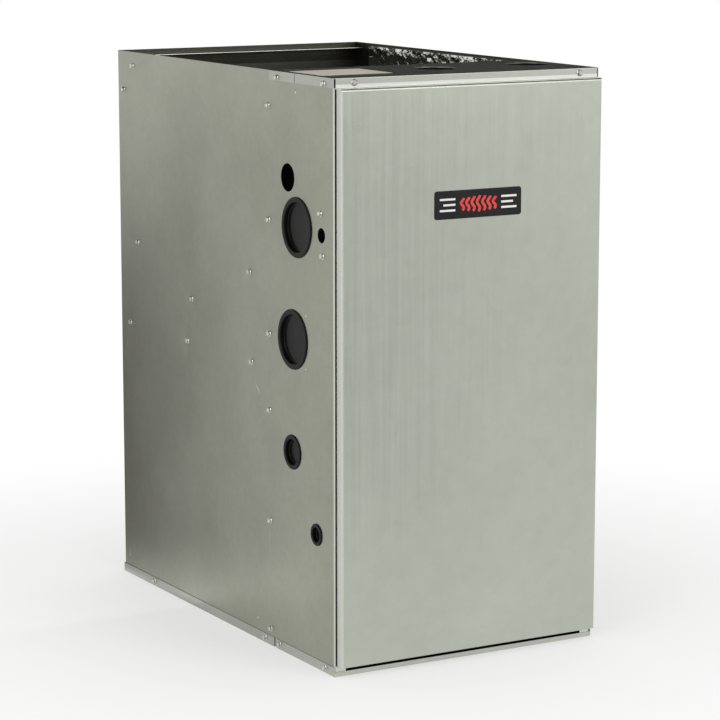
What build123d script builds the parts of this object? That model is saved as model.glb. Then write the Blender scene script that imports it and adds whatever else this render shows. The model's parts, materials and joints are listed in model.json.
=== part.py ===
from build123d import *
import math
import os

# A forced air gas furnace. Millimetres, +Z up. The origin is the middle of the cabinet's base.
# Depths are counted back from the cabinet's front edge, heights up from the floor.

# Cabinet
CABINET_WIDTH = 444.5
CABINET_DEPTH = 714.4
CABINET_HEIGHT = 863.6
SHEET = 1.0
FOLD_RADIUS = 3.0
FRONT_FLANGE = 18.0
REAR_RETURN = 22.0
REAR_PANEL_FLANGE = 26.0
PANEL_FLANGE = 15.0
LOOSE = 0.3

# Cap over the vestibule
VESTIBULE_DEPTH = 190.0
CAP_FLANGE = 14.0
CAP_EDGE_RADIUS = 0.8
CAP_CORNER_NOTCH = 3.0
PANEL_CORNER_RELIEF = 4.0
CAP_RELIEF_DEPTH = 113.0
CAP_RELIEF_WIDTH = 1.2
TOP_RAIL_HEIGHT = 30.0
TOP_RAIL_SHELF = 16.0
LABEL_WIDTH = 115.0
LABEL_LENGTH = 98.0
LABEL_THICKNESS = 0.3
LABEL_INSET = 9.25
LABEL_DEPTH = 50.0

# Base
BASE_STRIP = 14.0
BASE_FRONT_STRIP = 7.0
BASE_LEG = 25.0
BASE_SPLIT = 178.0
BASE_SPLIT_GAP = 7.0
BOTTOM_LIP = 12.0

# Screws, and how far they are from the edge of what they hold
SCREW_RADIUS = 2.0
SCREW_HOLE_FIT = 0.2
SCREW_LENGTH = 8.0
SCREW_WASHER_RADIUS = 5.0
SCREW_WASHER_THICKNESS = 0.8
SCREW_HEAD_FLATS = 7.0
SCREW_HEAD_HEIGHT = 2.6
SEAM_INSET = 7.5
SEAM_TOP_DROP = 51.8
SEAM_MIDDLE_HEIGHT = 644.4
SEAM_ABOVE_DECK = 57.0
SEAM_BELOW_DECK = 58.0
SEAM_LOW_HEIGHTS = (191.5, 25.1)
DECK_SCREW_FRONT_INSET = 64.5
DECK_SCREW_MIDDLE_DEPTH = 470.3
DECK_SCREW_REAR_INSET = 34.4
DECK_SCREW_RISE = 6.0
RAIL_SCREW_FRONT_INSET = 19.7
RAIL_SCREW_REAR_INSET = 22.4
COIL_SCREW_DEPTH = 454.0
CORNER_SCREW_INSET = 21.4
CORNER_SCREW_DROP = 62.0
LINER_SCREW_INSET = 55.2
LINER_SCREW_DROP = 22.2
CAP_SCREW_FRONT_DEPTH = 29.0
CAP_SCREW_REAR_INSET = 21.7
CAP_SCREW_DROP = 9.8
CAP_FRONT_SCREW_INSET = 32.25
BASE_SCREW_FRONT_DEPTH = 28.3
BASE_SCREW_SPLIT_INSETS = (9.5, 29.1)
BASE_SCREW_REAR_INSET = 114.4
BASE_SCREW_HEIGHT = 7.6
REAR_SCREW_BOTTOM = 60.0
REAR_SCREW_TOP_DROP = 63.6
REAR_SCREW_COUNT = 5

# Holes in the side panels: depth and height
GAS_HOLE = (137.3, 712.2)
GAS_HOLE_RADIUS = 20.5
WIRE_HOLE = (37.4, 638.8)
WIRE_HOLE_RADIUS = 10.9
# name: depth, height, hole radius, flange radius
PLUGS = {
    "upper_vent_plug": (110.0, 642.4, 38.0, 44.5),
    "lower_vent_plug": (123.5, 477.2, 38.0, 44.5),
    "drain_plug": (126.0, 309.4, 21.0, 26.0),
    "small_plug": (53.4, 200.2, 12.5, 16.5),
}
PLUG_FIT = 0.2
PLUG_FLANGE = 2.0
PLUG_FLANGE_REACH = 4.2
PLUG_WALL = 2.2
PLUG_DISH = 7.0
PLUG_LENGTH = 11.0

# Door
DOOR_SIDE_REVEAL = 2.25
DOOR_BOTTOM_REVEAL = 8.0
DOOR_TOP_REVEAL = 0.6
DOOR_THICKNESS = 14.3
DOOR_GAP = 1.6
DOOR_FOLD_RADIUS = 3.5
DOOR_PAD_THICKNESS = 8.0
DOOR_PAD_MARGIN = 20.0
GASKET_THICKNESS = 1.3
GASKET_WIDTH = 11.5
GASKET_INSET = 1.0
STUD_RADIUS = 3.0
STUD_TIP_RADIUS = 1.5
STUD_INSET = 9.25
STUD_BOTTOM_INSET = 55.0
STUD_TOP_INSET = 49.0
STUD_REACH = 12.0
STUD_FIT = 0.1
CLIP_WALL = 2.0
CLIP_LENGTH = 7.0
BADGE_WIDTH = 147.0
BADGE_HEIGHT = 41.0
BADGE_THICKNESS = 1.2
BADGE_CORNER = 4.0
BADGE_X = 6.0
BADGE_DROP = 171.6

# Blower compartment
DECK_HEIGHT = 418.0
DECK_FLANGE = 14.0
BLOWER_REAR_DISTANCE = 259.4
BLOWER_HEIGHT = 200.0
SCROLL_RADIUS = 185.0
SCROLL_STEP = 15.0
SCROLL_WIDTH = 230.0
SCROLL_SHEET = 0.8
TONGUE_ANGLE = 35.0
TONGUE_LIP = 5.0
INLET_RADIUS = 105.0
INLET_RING_WALL = 1.5
INLET_RING_LENGTH = 10.0
SCROLL_FLANGE = 15.0
WHEEL_RADIUS = 127.0
WHEEL_WIDTH = 203.0
BLADE_COUNT = 32
BLADE_CHORD = 20.0
BLADE_THICKNESS = 1.0
BLADE_INSET = 1.0
BLADE_TILT = 24.0
WHEEL_RING = 3.0
WHEEL_DISC_X = -20.0
WHEEL_DISC_THICKNESS = 2.0
WHEEL_HUB_RADIUS = 16.0
WHEEL_HUB_LENGTH = 26.0
BLOWER_SHAFT_RADIUS = 6.35
BLOWER_SHAFT_TIP = 4.0
SHAFT_FIT = 0.05
BLOWER_MOTOR_RADIUS = 70.0
BLOWER_MOTOR_EDGE = 6.0
BLOWER_MOTOR_START = 4.0
BLOWER_MOTOR_LENGTH = 132.0
MOTOR_BORE = 50.0
BAND_WIDTH = 14.0
BAND_THICKNESS = 2.0
ARM_WIDTH = 16.0
ARM_THICKNESS = 3.0
ARM_OVERLAP = 14.0
ARM_TURNS = (0, 120, 240)

# Heat exchanger: the burners and the upper tubes are set from the top, the coil from the deck
INTAKE_X = 5.0
BURNER_PITCH = 66.0
BURNER_DROP = 121.6
TUBE_RADIUS = 22.0
TUBE_WALL = 1.2
TUBE_BEND = 37.0
TUBE_STICK_OUT = 2.0
TUBE_REAR_DISTANCE = 94.4
TUBE_FRONT_DISTANCE = 110.0
COUPLING_REAR_GAP = 48.4
COUPLING_LENGTH = 60.0
COUPLING_SIDE_GAP = 30.25
COUPLING_HEADROOM = 32.0
COIL_CLEARANCE = 22.0
COIL_TUBE_RADIUS = 8.0
COIL_TUBE_WALL = 1.0
COIL_ROW_COUNT = 2
COIL_COLUMNS = 6
COIL_PITCH = 60.0
FIN_COUNT = 14
FIN_THICKNESS = 0.8
FIN_FLOOR_GAP = 5.0
FIN_RAIL_GAP = 7.0
FIN_FRONT_GAP = 72.0
FIN_REAR_GAP = 10.0
COIL_BRACKET_LENGTH = 90.0
COIL_BRACKET_LEG = 25.0
COIL_BRACKET_DROP = 15.0
RAIL_FRONT_GAP = 50.0
RAIL_REAR_GAP = 44.4
RAIL_LEG = 16.0
CROSS_BAR_FRONT_GAP = 150.0
CROSS_BAR_REAR_GAP = 154.4
CROSS_BAR_WIDTH = 12.0
CROSS_BAR_HEIGHT = 5.0
LINER_THICKNESS = 6.0
LINER_RAIL_GAP = 8.0
LINER_REAR_GAP = 48.4
LINER_TOP_GAP = 4.5
DUCT_FLANGE_DROP = 9.0
DUCT_FLANGE_SHELF = 18.0
DUCT_FLANGE_LEG = 20.0

# Burners and gas
BURNER_BOX_MARGIN = 39.0
BURNER_BOX_FLOOR_DROP = 42.0
BURNER_BOX_HEADROOM = 44.0
BURNER_BOX_LENGTH = 122.0
BURNER_RADIUS = 16.0
BURNER_WALL = 1.5
BURNER_LENGTH = 72.0
BURNER_SHORT_OF_PANEL = 6.0
BURNER_PLATE_INSET = 14.0
BURNER_PLATE_THICKNESS = 2.0
MANIFOLD_RADIUS = 10.5
MANIFOLD_OFFSET = 18.0
MANIFOLD_OVERHANG = 21.0
MANIFOLD_BRACKET_WIDTH = 16.0
MANIFOLD_BRACKET_THICKNESS = 6.0
ORIFICE_RADIUS = 5.0
ORIFICE_LENGTH = 30.0
ORIFICE_CLEARANCE = 2.0
VALVE_SIDE_GAP = 25.25
VALVE_WIDTH = 68.0
VALVE_FRONT_REACH = 26.0
VALVE_REAR_REACH = 34.0
VALVE_FLOOR_DROP = 36.0
VALVE_HEADROOM = 34.0
VALVE_EDGE_RADIUS = 4.0
KNOB_RADIUS = 13.0
KNOB_LENGTH = 12.0
KNOB_GRIP_WIDTH = 6.0
KNOB_GRIP_LENGTH = 22.0
KNOB_STEM_RADIUS = 4.0
KNOB_STEM_LENGTH = 8.0
KNOB_DROP = 18.0
KNOB_GAP = 0.4
VALVE_INLET_RADIUS = 15.0
VALVE_INLET_WALL = 4.0
VALVE_INLET_LENGTH = 12.0
VALVE_INLET_BORE = 20.0
VALVE_INLET_DROP = 10.0
SWITCH_SIZE = 22.0
SWITCH_HEIGHT = 10.0
ROLLOUT_INSETS = (30.0, 24.0)
ROLLOUT_SETBACK = 70.0
BUTTON_RADIUS = 3.0
BUTTON_REACH = 4.0
BUTTON_TRAVEL = 1.5
BUTTON_WELL = 6.0
SENSOR_RADIUS = 2.5
SENSOR_LENGTH = 30.0
SENSOR_TAIL = 8.0
SENSOR_COLLAR_RADIUS = 7.0
SENSOR_COLLAR_LENGTH = 6.0
SENSOR_SETBACK = 30.0

# Vent and intake
INTAKE_SETBACK = 88.0
VENT_SIDE_DISTANCE = 50.25
VENT_SETBACK = 78.0
CAP_HOLE_RADIUS = 32.5
SOCKET_BORE = 30.3
SOCKET_RADIUS = 35.0
SOCKET_LENGTH = 38.0
PIPE_WALL = 3.2
PIPE_RADIUS = 30.15

# Inducer and cold header
HEADER_LEFT_MARGIN = 14.0
HEADER_RIGHT_MARGIN = 20.0
HEADER_BURNER_GAP = 78.0
HEADER_LENGTH = 40.0
HEADER_WALL = 3.0
HEADER_CORNER = 10.0
INDUCER_OFFSET = 84.0
INDUCER_DROP = 77.0
VOLUTE_RADIUS = 82.0
VOLUTE_LENGTH = 58.0
VOLUTE_WALL = 3.0
INDUCER_INLET_RADIUS = 28.0
NECK_HALF_WIDTH = 26.0
NECK_RISE = 105.0
INDUCER_WHEEL_RADIUS = 62.0
INDUCER_WHEEL_WIDTH = 26.0
INDUCER_WHEEL_GAP = 8.0
INDUCER_DISC_THICKNESS = 2.0
INDUCER_BLADES = 12
INDUCER_BLADE_LENGTH = 34.0
INDUCER_BLADE_THICKNESS = 2.0
INDUCER_BLADE_INSET = 1.0
INDUCER_SHAFT_RADIUS = 4.0
INDUCER_SHAFT_HOLE_FIT = 1.0
INDUCER_SHAFT_REACH = 24.0
INDUCER_HUB_RADIUS = 10.0
INDUCER_MOTOR_RADIUS = 42.0
INDUCER_MOTOR_LENGTH = 56.0
INDUCER_MOTOR_EDGE = 8.0
INDUCER_MOTOR_BORE = 25.0

# Small fittings in the vestibule
PRESSURE_SWITCH_X = -60.0
PRESSURE_SWITCH_RADIUS = 30.0
PRESSURE_SWITCH_LENGTH = 28.0
PRESSURE_SWITCH_DISC = 8.0
PRESSURE_SWITCH_CAN_RADIUS = 23.0
HOSE_RADIUS = 4.0
NIPPLE_RADIUS = 3.0
NIPPLE_LENGTH = 8.0
NIPPLE_SINK = 2.0
HOSE_RUN = 30.0
TRAP_INSET = 32.0
TRAP_WIDTH = 54.0
TRAP_LENGTH = 44.0
TRAP_BELOW_DRAIN = 59.4
TRAP_ABOVE_DRAIN = 50.6
TRAP_CORNER = 6.0
TRAP_LUG_WIDTH = 24.0
TRAP_LUG_HEIGHT = 50.0
TRAP_LUG_RISE = 40.0
TRAP_SPIGOT_RADIUS = 10.0
TRAP_SPIGOT_LENGTH = 24.0
DRAIN_HOSE_RADIUS = 9.0
DRAIN_HOSE_WALL = 3.0
DRAIN_SPOUT = 12.0
DRAIN_HOSE_RUN_SHARE = 0.25
TRAY_WIDTH = 190.0
TRAY_LENGTH = 180.0
TRAY_DECK_GAP = 23.0
TRAY_HEIGHT = 12.0
TRAY_TRANSFORMER_GAP = 14.0
STANDOFF_LENGTH = 10.0
STANDOFF_RADIUS = 3.0
BOARD_MARGIN = 10.0
BOARD_THICKNESS = 1.6
RELAY_COUNT = 4
RELAY_PITCH = 26.0
# left and bottom from the board's corner, width, height and thickness
RELAY = (14.0, 96.0, 20.0, 28.0, 17.0)
BOARD_PARTS = (
    (18.0, 10.0, 90.0, 14.0, 12.0), (122.0, 12.0, 34.0, 18.0, 14.0), (124.0, 60.0, 30.0, 30.0, 10.0),
    (18.0, 46.0, 40.0, 12.0, 9.0), (76.0, 44.0, 12.0, 30.0, 22.0), (96.0, 44.0, 12.0, 30.0, 22.0),
    (14.0, 138.0, 130.0, 9.0, 8.0),
)
TRANSFORMER_SIDE_GAP = 21.25
TRANSFORMER_DECK_DROP = 118.0
CORE_WIDTH = 56.0
CORE_HEIGHT = 44.8
CORE_LENGTH = 48.0
WINDING_WIDTH = 33.6
WINDING_HEIGHT = 64.4
WINDING_LENGTH = 32.0
WINDING_EDGE = 4.0
JUNCTION_WIDTH = 42.0
# around the wire hole: to the front, the rear, below and above
JUNCTION_REACH = (25.4, 30.6, 42.8, 45.2)
JUNCTION_SCREWS = ((3.7, 30.6), (-2.2, -29.7))
JUNCTION_HOLE_MARGIN = 2.0
DOOR_SWITCH_WIDTH = 37.25
DOOR_SWITCH_FRONT = 8.0
DOOR_SWITCH_LENGTH = 38.0
DOOR_SWITCH_BOTTOM = 420.0
DOOR_SWITCH_HEIGHT = 28.0
PLUNGER_INSET = 10.0
PLUNGER_RADIUS = 3.5
PLUNGER_WELL = 20.0
LIMIT_SWITCH_GAP = 20.0
LIMIT_SWITCH_FLANGE = 14.0
LIMIT_SWITCH_FLANGE_THICKNESS = 3.0
LIMIT_SWITCH_CAN = 9.0
LIMIT_SWITCH_CAN_LENGTH = 9.0

# Leads: each route is a list of x, depth and height
BEND_SHARE = 0.45
LEAD_RADIUS = 3.0
LEAD_ROUTES = (
    ((-30, 173.4, 372), (-30, 173.4, 398), (-60, 138, 432), (-78, 136, 500), (-80, 134, 575),
     (-98, 116, 630), (-140, 76, 656), (-160, 62, 680), (-160, 62, 706)),
    ((60, 173.4, 372), (60, 173.4, 396), (80, 104, 428), (88, 64, 466), (88, 64, 503)),
    ((205, 27, 420), (205, 27, 392), (185, 90, 364), (140, 140, 358), (89, 172.4, 344), (89, 172.4, 315)),
)

# Clearance that a cutter runs past the faces it opens
PAST = 1.0

# Cabinet's planes
FRONT = -CABINET_DEPTH / 2
REAR = CABINET_DEPTH / 2
HALF = CABINET_WIDTH / 2
INSIDE = HALF - SHEET
TOP = CABINET_HEIGHT
UNDER_CAP = TOP - SHEET
PANEL_FRONT = FRONT + VESTIBULE_DEPTH
PANEL_REAR = PANEL_FRONT + SHEET
DECK_BOTTOM = DECK_HEIGHT - SHEET
SCREW_HOLE = SCREW_RADIUS + SCREW_HOLE_FIT
LABEL_LEFT = -HALF + LABEL_INSET

# Door
DOOR_WIDTH = CABINET_WIDTH - 2 * DOOR_SIDE_REVEAL
DOOR_BOTTOM = BASE_FRONT_STRIP + DOOR_BOTTOM_REVEAL
DOOR_TOP = TOP - CAP_FLANGE - DOOR_TOP_REVEAL
DOOR_REAR = FRONT - DOOR_GAP
DOOR_FRONT = DOOR_REAR - DOOR_THICKNESS
DOOR_INNER = DOOR_FRONT + SHEET
PAD_REAR = DOOR_INNER + DOOR_PAD_THICKNESS
STUD_X = HALF - STUD_INSET
STUD_HEIGHTS = (DOOR_BOTTOM + STUD_BOTTOM_INSET, DOOR_TOP - STUD_TOP_INSET)
BADGE_CENTRE_HEIGHT = DOOR_TOP - BADGE_DROP

# Blower
BLOWER_Y = REAR - BLOWER_REAR_DISTANCE
BLOWER_AXIS = (0, BLOWER_Y, BLOWER_HEIGHT)
BLOWER_SHAFT_START = WHEEL_DISC_X - WHEEL_HUB_LENGTH - BLOWER_SHAFT_TIP

# Burners and gas
BURNER_X = tuple(INTAKE_X + BURNER_PITCH * i for i in (-1, 0, 1))
BURNER_HEIGHT = TOP - BURNER_DROP
BURNER_BOX_LEFT = BURNER_X[0] - BURNER_BOX_MARGIN
BURNER_BOX_RIGHT = BURNER_X[-1] + BURNER_BOX_MARGIN
BURNER_BOX_BOTTOM = BURNER_HEIGHT - BURNER_BOX_FLOOR_DROP
BURNER_BOX_TOP = BURNER_HEIGHT + BURNER_BOX_HEADROOM
BURNER_BOX_Y = PANEL_FRONT - BURNER_BOX_LENGTH
BURNER_END = PANEL_FRONT - BURNER_SHORT_OF_PANEL
MANIFOLD_Y = BURNER_BOX_Y - MANIFOLD_OFFSET
VALVE_LEFT = -INSIDE + VALVE_SIDE_GAP
VALVE_RIGHT = VALVE_LEFT + VALVE_WIDTH
VALVE_FRONT = MANIFOLD_Y - VALVE_FRONT_REACH
VALVE_BOTTOM = BURNER_HEIGHT - VALVE_FLOOR_DROP
VALVE_TOP = BURNER_HEIGHT + VALVE_HEADROOM
KNOB_X = (VALVE_LEFT + VALVE_RIGHT) / 2
KNOB_HEIGHT = VALVE_TOP - KNOB_DROP
ROLLOUT_X = (BURNER_BOX_LEFT + ROLLOUT_INSETS[0], BURNER_BOX_RIGHT - ROLLOUT_INSETS[1])
ROLLOUT_Y = PANEL_FRONT - ROLLOUT_SETBACK
# the igniter is by the first burner and the flame sensor by the last
SENSOR_X = (BURNER_X[0], BURNER_X[-1])
SENSOR_Y = PANEL_FRONT - SENSOR_SETBACK

# Heat exchanger
PASS_HEIGHTS = [BURNER_HEIGHT - 2 * TUBE_BEND * i for i in range(3)]
TUBE_REAR = REAR - TUBE_REAR_DISTANCE
TUBE_FRONT = PANEL_FRONT + TUBE_FRONT_DISTANCE
COUPLING_REAR = REAR - COUPLING_REAR_GAP
COUPLING_FRONT = COUPLING_REAR - COUPLING_LENGTH
COUPLING_HALF_WIDTH = INSIDE - COUPLING_SIDE_GAP
COIL_FLOOR = DECK_HEIGHT + COIL_CLEARANCE
COUPLING_TOP = PASS_HEIGHTS[-1] + COUPLING_HEADROOM
RAIL_TOP = PASS_HEIGHTS[-1] - TUBE_RADIUS - CROSS_BAR_HEIGHT
RAIL_BOTTOM = RAIL_TOP + SHEET - RAIL_LEG
FIN_BOTTOM = COIL_FLOOR + FIN_FLOOR_GAP
FIN_TOP = RAIL_BOTTOM - FIN_RAIL_GAP
FIN_FRONT = PANEL_FRONT + FIN_FRONT_GAP
FIN_REAR = COUPLING_FRONT - FIN_REAR_GAP
COIL_BRACKET_BOTTOM = (FIN_BOTTOM + FIN_TOP) / 2 - COIL_BRACKET_DROP
COIL_X = [(i - (COIL_COLUMNS - 1) / 2) * COIL_PITCH for i in range(COIL_COLUMNS)]
COIL_ROW_PITCH = (FIN_TOP - FIN_BOTTOM) / COIL_ROW_COUNT
COIL_ROWS = [FIN_BOTTOM + COIL_ROW_PITCH * (i + 0.5) for i in range(COIL_ROW_COUNT)]
RAIL_FRONT = PANEL_FRONT + RAIL_FRONT_GAP
RAIL_REAR = REAR - RAIL_REAR_GAP
CROSS_BARS = (PANEL_FRONT + CROSS_BAR_FRONT_GAP, REAR - CROSS_BAR_REAR_GAP)

# Vent, inducer and cold header
INTAKE_Y = PANEL_FRONT - INTAKE_SETBACK
VENT_X = HALF - VENT_SIDE_DISTANCE
VENT_Y = PANEL_FRONT - VENT_SETBACK
INDUCER_X = VENT_X - INDUCER_OFFSET
HEADER_LEFT = COIL_X[0] - COIL_TUBE_RADIUS - HEADER_LEFT_MARGIN
HEADER_RIGHT = INDUCER_X + VOLUTE_RADIUS + HEADER_RIGHT_MARGIN
HEADER_TOP = BURNER_BOX_BOTTOM - HEADER_BURNER_GAP
HEADER_FRONT = PANEL_FRONT - HEADER_LENGTH
INDUCER_HEIGHT = HEADER_TOP - INDUCER_DROP
NECK_TOP = INDUCER_HEIGHT + NECK_RISE
VOLUTE_FRONT = HEADER_FRONT - VOLUTE_LENGTH
INDUCER_WHEEL_Y = VOLUTE_FRONT + VOLUTE_WALL + INDUCER_WHEEL_GAP

# Small fittings
DRAIN_DEPTH, DRAIN_HEIGHT = PLUGS["drain_plug"][:2]
TRAP_LEFT = HEADER_LEFT + TRAP_INSET
TRAP_X = TRAP_LEFT + TRAP_WIDTH / 2
TRAP_Y = FRONT + DRAIN_DEPTH
TRAP_BOTTOM = DRAIN_HEIGHT - TRAP_BELOW_DRAIN
TRAP_TOP = DRAIN_HEIGHT + TRAP_ABOVE_DRAIN
SPOUT_Y = PANEL_FRONT - HEADER_LENGTH / 2
PRESSURE_SWITCH_HEIGHT = (HEADER_TOP + BURNER_BOX_BOTTOM) / 2
PRESSURE_SWITCH_Y = PANEL_FRONT - PRESSURE_SWITCH_LENGTH / 2
HOSE_START_X = PRESSURE_SWITCH_X - PRESSURE_SWITCH_RADIUS - NIPPLE_LENGTH
HOSE_END_X = HOSE_START_X - HOSE_RUN
TRANSFORMER_X = INSIDE - TRANSFORMER_SIDE_GAP - CORE_WIDTH / 2
TRANSFORMER_HEIGHT = DECK_HEIGHT - TRANSFORMER_DECK_DROP
TRAY_RIGHT = TRANSFORMER_X - CORE_WIDTH / 2 - TRAY_TRANSFORMER_GAP
TRAY_LEFT = TRAY_RIGHT - TRAY_WIDTH
TRAY_TOP = DECK_HEIGHT - TRAY_DECK_GAP
TRAY_BOTTOM = TRAY_TOP - TRAY_LENGTH
BOARD_X = (TRAY_LEFT + BOARD_MARGIN, TRAY_RIGHT - BOARD_MARGIN)
BOARD_Z = (TRAY_BOTTOM + BOARD_MARGIN, TRAY_TOP - BOARD_MARGIN)
BOARD_BACK = PANEL_FRONT - SHEET - STANDOFF_LENGTH
JUNCTION_Y = (FRONT + WIRE_HOLE[0] - JUNCTION_REACH[0], FRONT + WIRE_HOLE[0] + JUNCTION_REACH[1])
JUNCTION_Z = (WIRE_HOLE[1] - JUNCTION_REACH[2], WIRE_HOLE[1] + JUNCTION_REACH[3])
DOOR_SWITCH_INNER = INSIDE - DOOR_SWITCH_WIDTH
PLUNGER_X = DOOR_SWITCH_INNER + PLUNGER_INSET
PLUNGER_HEIGHT = DOOR_SWITCH_BOTTOM + DOOR_SWITCH_HEIGHT / 2
LIMIT_SWITCH_X = BURNER_BOX_RIGHT + LIMIT_SWITCH_GAP
LIMIT_SWITCH_HEIGHT = BURNER_BOX_BOTTOM


def block(x, y, z):
    """A box between two values on each axis."""
    middle = [(a + b) / 2 for a, b in (x, y, z)]
    size = [abs(b - a) for a, b in (x, y, z)]
    return Pos(*middle) * Box(*size)


def rod(axis, start, length, radius):
    """A cylinder that runs from a point along +x, +y or +z, or back where the length is negative."""
    turn = {"x": Rot(0, 90, 0), "y": Rot(-90, 0, 0), "z": Rot(0, 0, 0)}[axis]
    low = list(start)
    low["xyz".index(axis)] += min(length, 0)
    body = Cylinder(radius, abs(length), align=(Align.CENTER, Align.CENTER, Align.MIN))
    return Pos(*low) * turn * body


def ring(axis, start, length, outer, inner):
    """A tube with square ends."""
    return rod(axis, start, length, outer) - rod(axis, start, length, inner)


def save(name, *items):
    """Writes each solid of the items, unfused, as one node."""
    solids = [solid for item in items for solid in item.solids()]
    export_step(Compound(children=solids), f"parts/{name}.step")


def screw(point, outward):
    """A hex washer head screw whose head sits on the point."""
    low = (Align.CENTER, Align.CENTER, Align.MIN)
    high = (Align.CENTER, Align.CENTER, Align.MAX)
    hexagon = RegularPolygon(SCREW_HEAD_FLATS / 2, 6, major_radius=False)
    head = Pos(0, 0, SCREW_WASHER_THICKNESS) * extrude(hexagon, SCREW_HEAD_HEIGHT)
    washer = Cylinder(SCREW_WASHER_RADIUS, SCREW_WASHER_THICKNESS, align=low)
    shank = Cylinder(SCREW_RADIUS, SCREW_LENGTH, align=high)
    return Plane(origin=point, z_dir=outward).location * (washer + head + shank)


def screw_holes(axis, points):
    """Cutters for the screws' clearance holes, long enough for every sheet that they hold."""
    start = "xyz".index(axis)
    cutters = []
    for point in points:
        low = list(point)
        low[start] -= SCREW_LENGTH
        cutters.append(rod(axis, low, 2 * SCREW_LENGTH, SCREW_HOLE))
    return cutters


def cut(body, cutters):
    """The body without every cutter."""
    for cutter in cutters:
        body = body - cutter
    return body


def on_side(side, spots, out=0.0):
    """Points on a side panel's outer face, from depths and heights."""
    return [(side * (HALF + out), FRONT + depth, height) for depth, height in spots]


SEAM_DEPTH = VESTIBULE_DEPTH + SEAM_INSET
UPPER_SEAM_HEIGHTS = (TOP - SEAM_TOP_DROP, SEAM_MIDDLE_HEIGHT, DECK_HEIGHT + SEAM_ABOVE_DECK)
LOWER_SEAM_HEIGHTS = (DECK_HEIGHT - SEAM_BELOW_DECK, *SEAM_LOW_HEIGHTS)
SEAM_SPOTS = [(SEAM_DEPTH, height) for height in UPPER_SEAM_HEIGHTS + LOWER_SEAM_HEIGHTS]
DECK_SCREW_DEPTHS = (
    VESTIBULE_DEPTH + DECK_SCREW_FRONT_INSET, DECK_SCREW_MIDDLE_DEPTH, CABINET_DEPTH - DECK_SCREW_REAR_INSET,
)
DECK_SPOTS = [(depth, DECK_HEIGHT + DECK_SCREW_RISE) for depth in DECK_SCREW_DEPTHS]
RAIL_SCREW_DEPTHS = (
    RAIL_FRONT + RAIL_SCREW_FRONT_INSET - FRONT, RAIL_REAR - RAIL_SCREW_REAR_INSET - FRONT,
)
RAIL_SPOTS = [(depth, RAIL_BOTTOM + RAIL_LEG / 2 - SHEET) for depth in RAIL_SCREW_DEPTHS]
COIL_SPOT = (COIL_SCREW_DEPTH, COIL_BRACKET_BOTTOM + COIL_BRACKET_LEG / 2)
CORNER_SPOT = (CABINET_DEPTH - CORNER_SCREW_INSET, TOP - CORNER_SCREW_DROP)
LINER_SPOT = (CABINET_DEPTH - LINER_SCREW_INSET, TOP - LINER_SCREW_DROP)
PANEL_SPOTS = SEAM_SPOTS + DECK_SPOTS + RAIL_SPOTS + [COIL_SPOT, CORNER_SPOT, LINER_SPOT]
CAP_SCREW_DEPTHS = (CAP_SCREW_FRONT_DEPTH, VESTIBULE_DEPTH - CAP_SCREW_REAR_INSET)
CAP_SPOTS = [(depth, TOP - CAP_SCREW_DROP) for depth in CAP_SCREW_DEPTHS]
BASE_SCREW_DEPTHS = (
    BASE_SCREW_FRONT_DEPTH, BASE_SPLIT - BASE_SCREW_SPLIT_INSETS[0],
    BASE_SPLIT + BASE_SPLIT_GAP + BASE_SCREW_SPLIT_INSETS[1], CABINET_DEPTH - BASE_SCREW_REAR_INSET,
)
BASE_SPOTS = [(depth, BASE_SCREW_HEIGHT) for depth in BASE_SCREW_DEPTHS]
JUNCTION_SPOTS = [(WIRE_HOLE[0] + back, WIRE_HOLE[1] + up) for back, up in JUNCTION_SCREWS]
ALL_SIDE_SPOTS = PANEL_SPOTS + CAP_SPOTS + BASE_SPOTS
REAR_SCREW_PITCH = (TOP - REAR_SCREW_TOP_DROP - REAR_SCREW_BOTTOM) / (REAR_SCREW_COUNT - 1)
REAR_SCREW_HEIGHTS = [REAR_SCREW_BOTTOM + REAR_SCREW_PITCH * i for i in range(REAR_SCREW_COUNT)]
REAR_POINTS = [(s * (HALF - REAR_RETURN / 2), REAR, z) for s in (-1, 1) for z in REAR_SCREW_HEIGHTS]
STUD_PLACES = [(s * STUD_X, z) for s in (-1, 1) for z in STUD_HEIGHTS]
CAP_FRONT_SCREW_X = HALF - CAP_FRONT_SCREW_INSET
CAP_FRONT_POINTS = [(s * CAP_FRONT_SCREW_X, FRONT - SHEET, TOP - CAP_FLANGE / 2) for s in (-1, 1)]


# ---- cabinet ----

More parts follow.
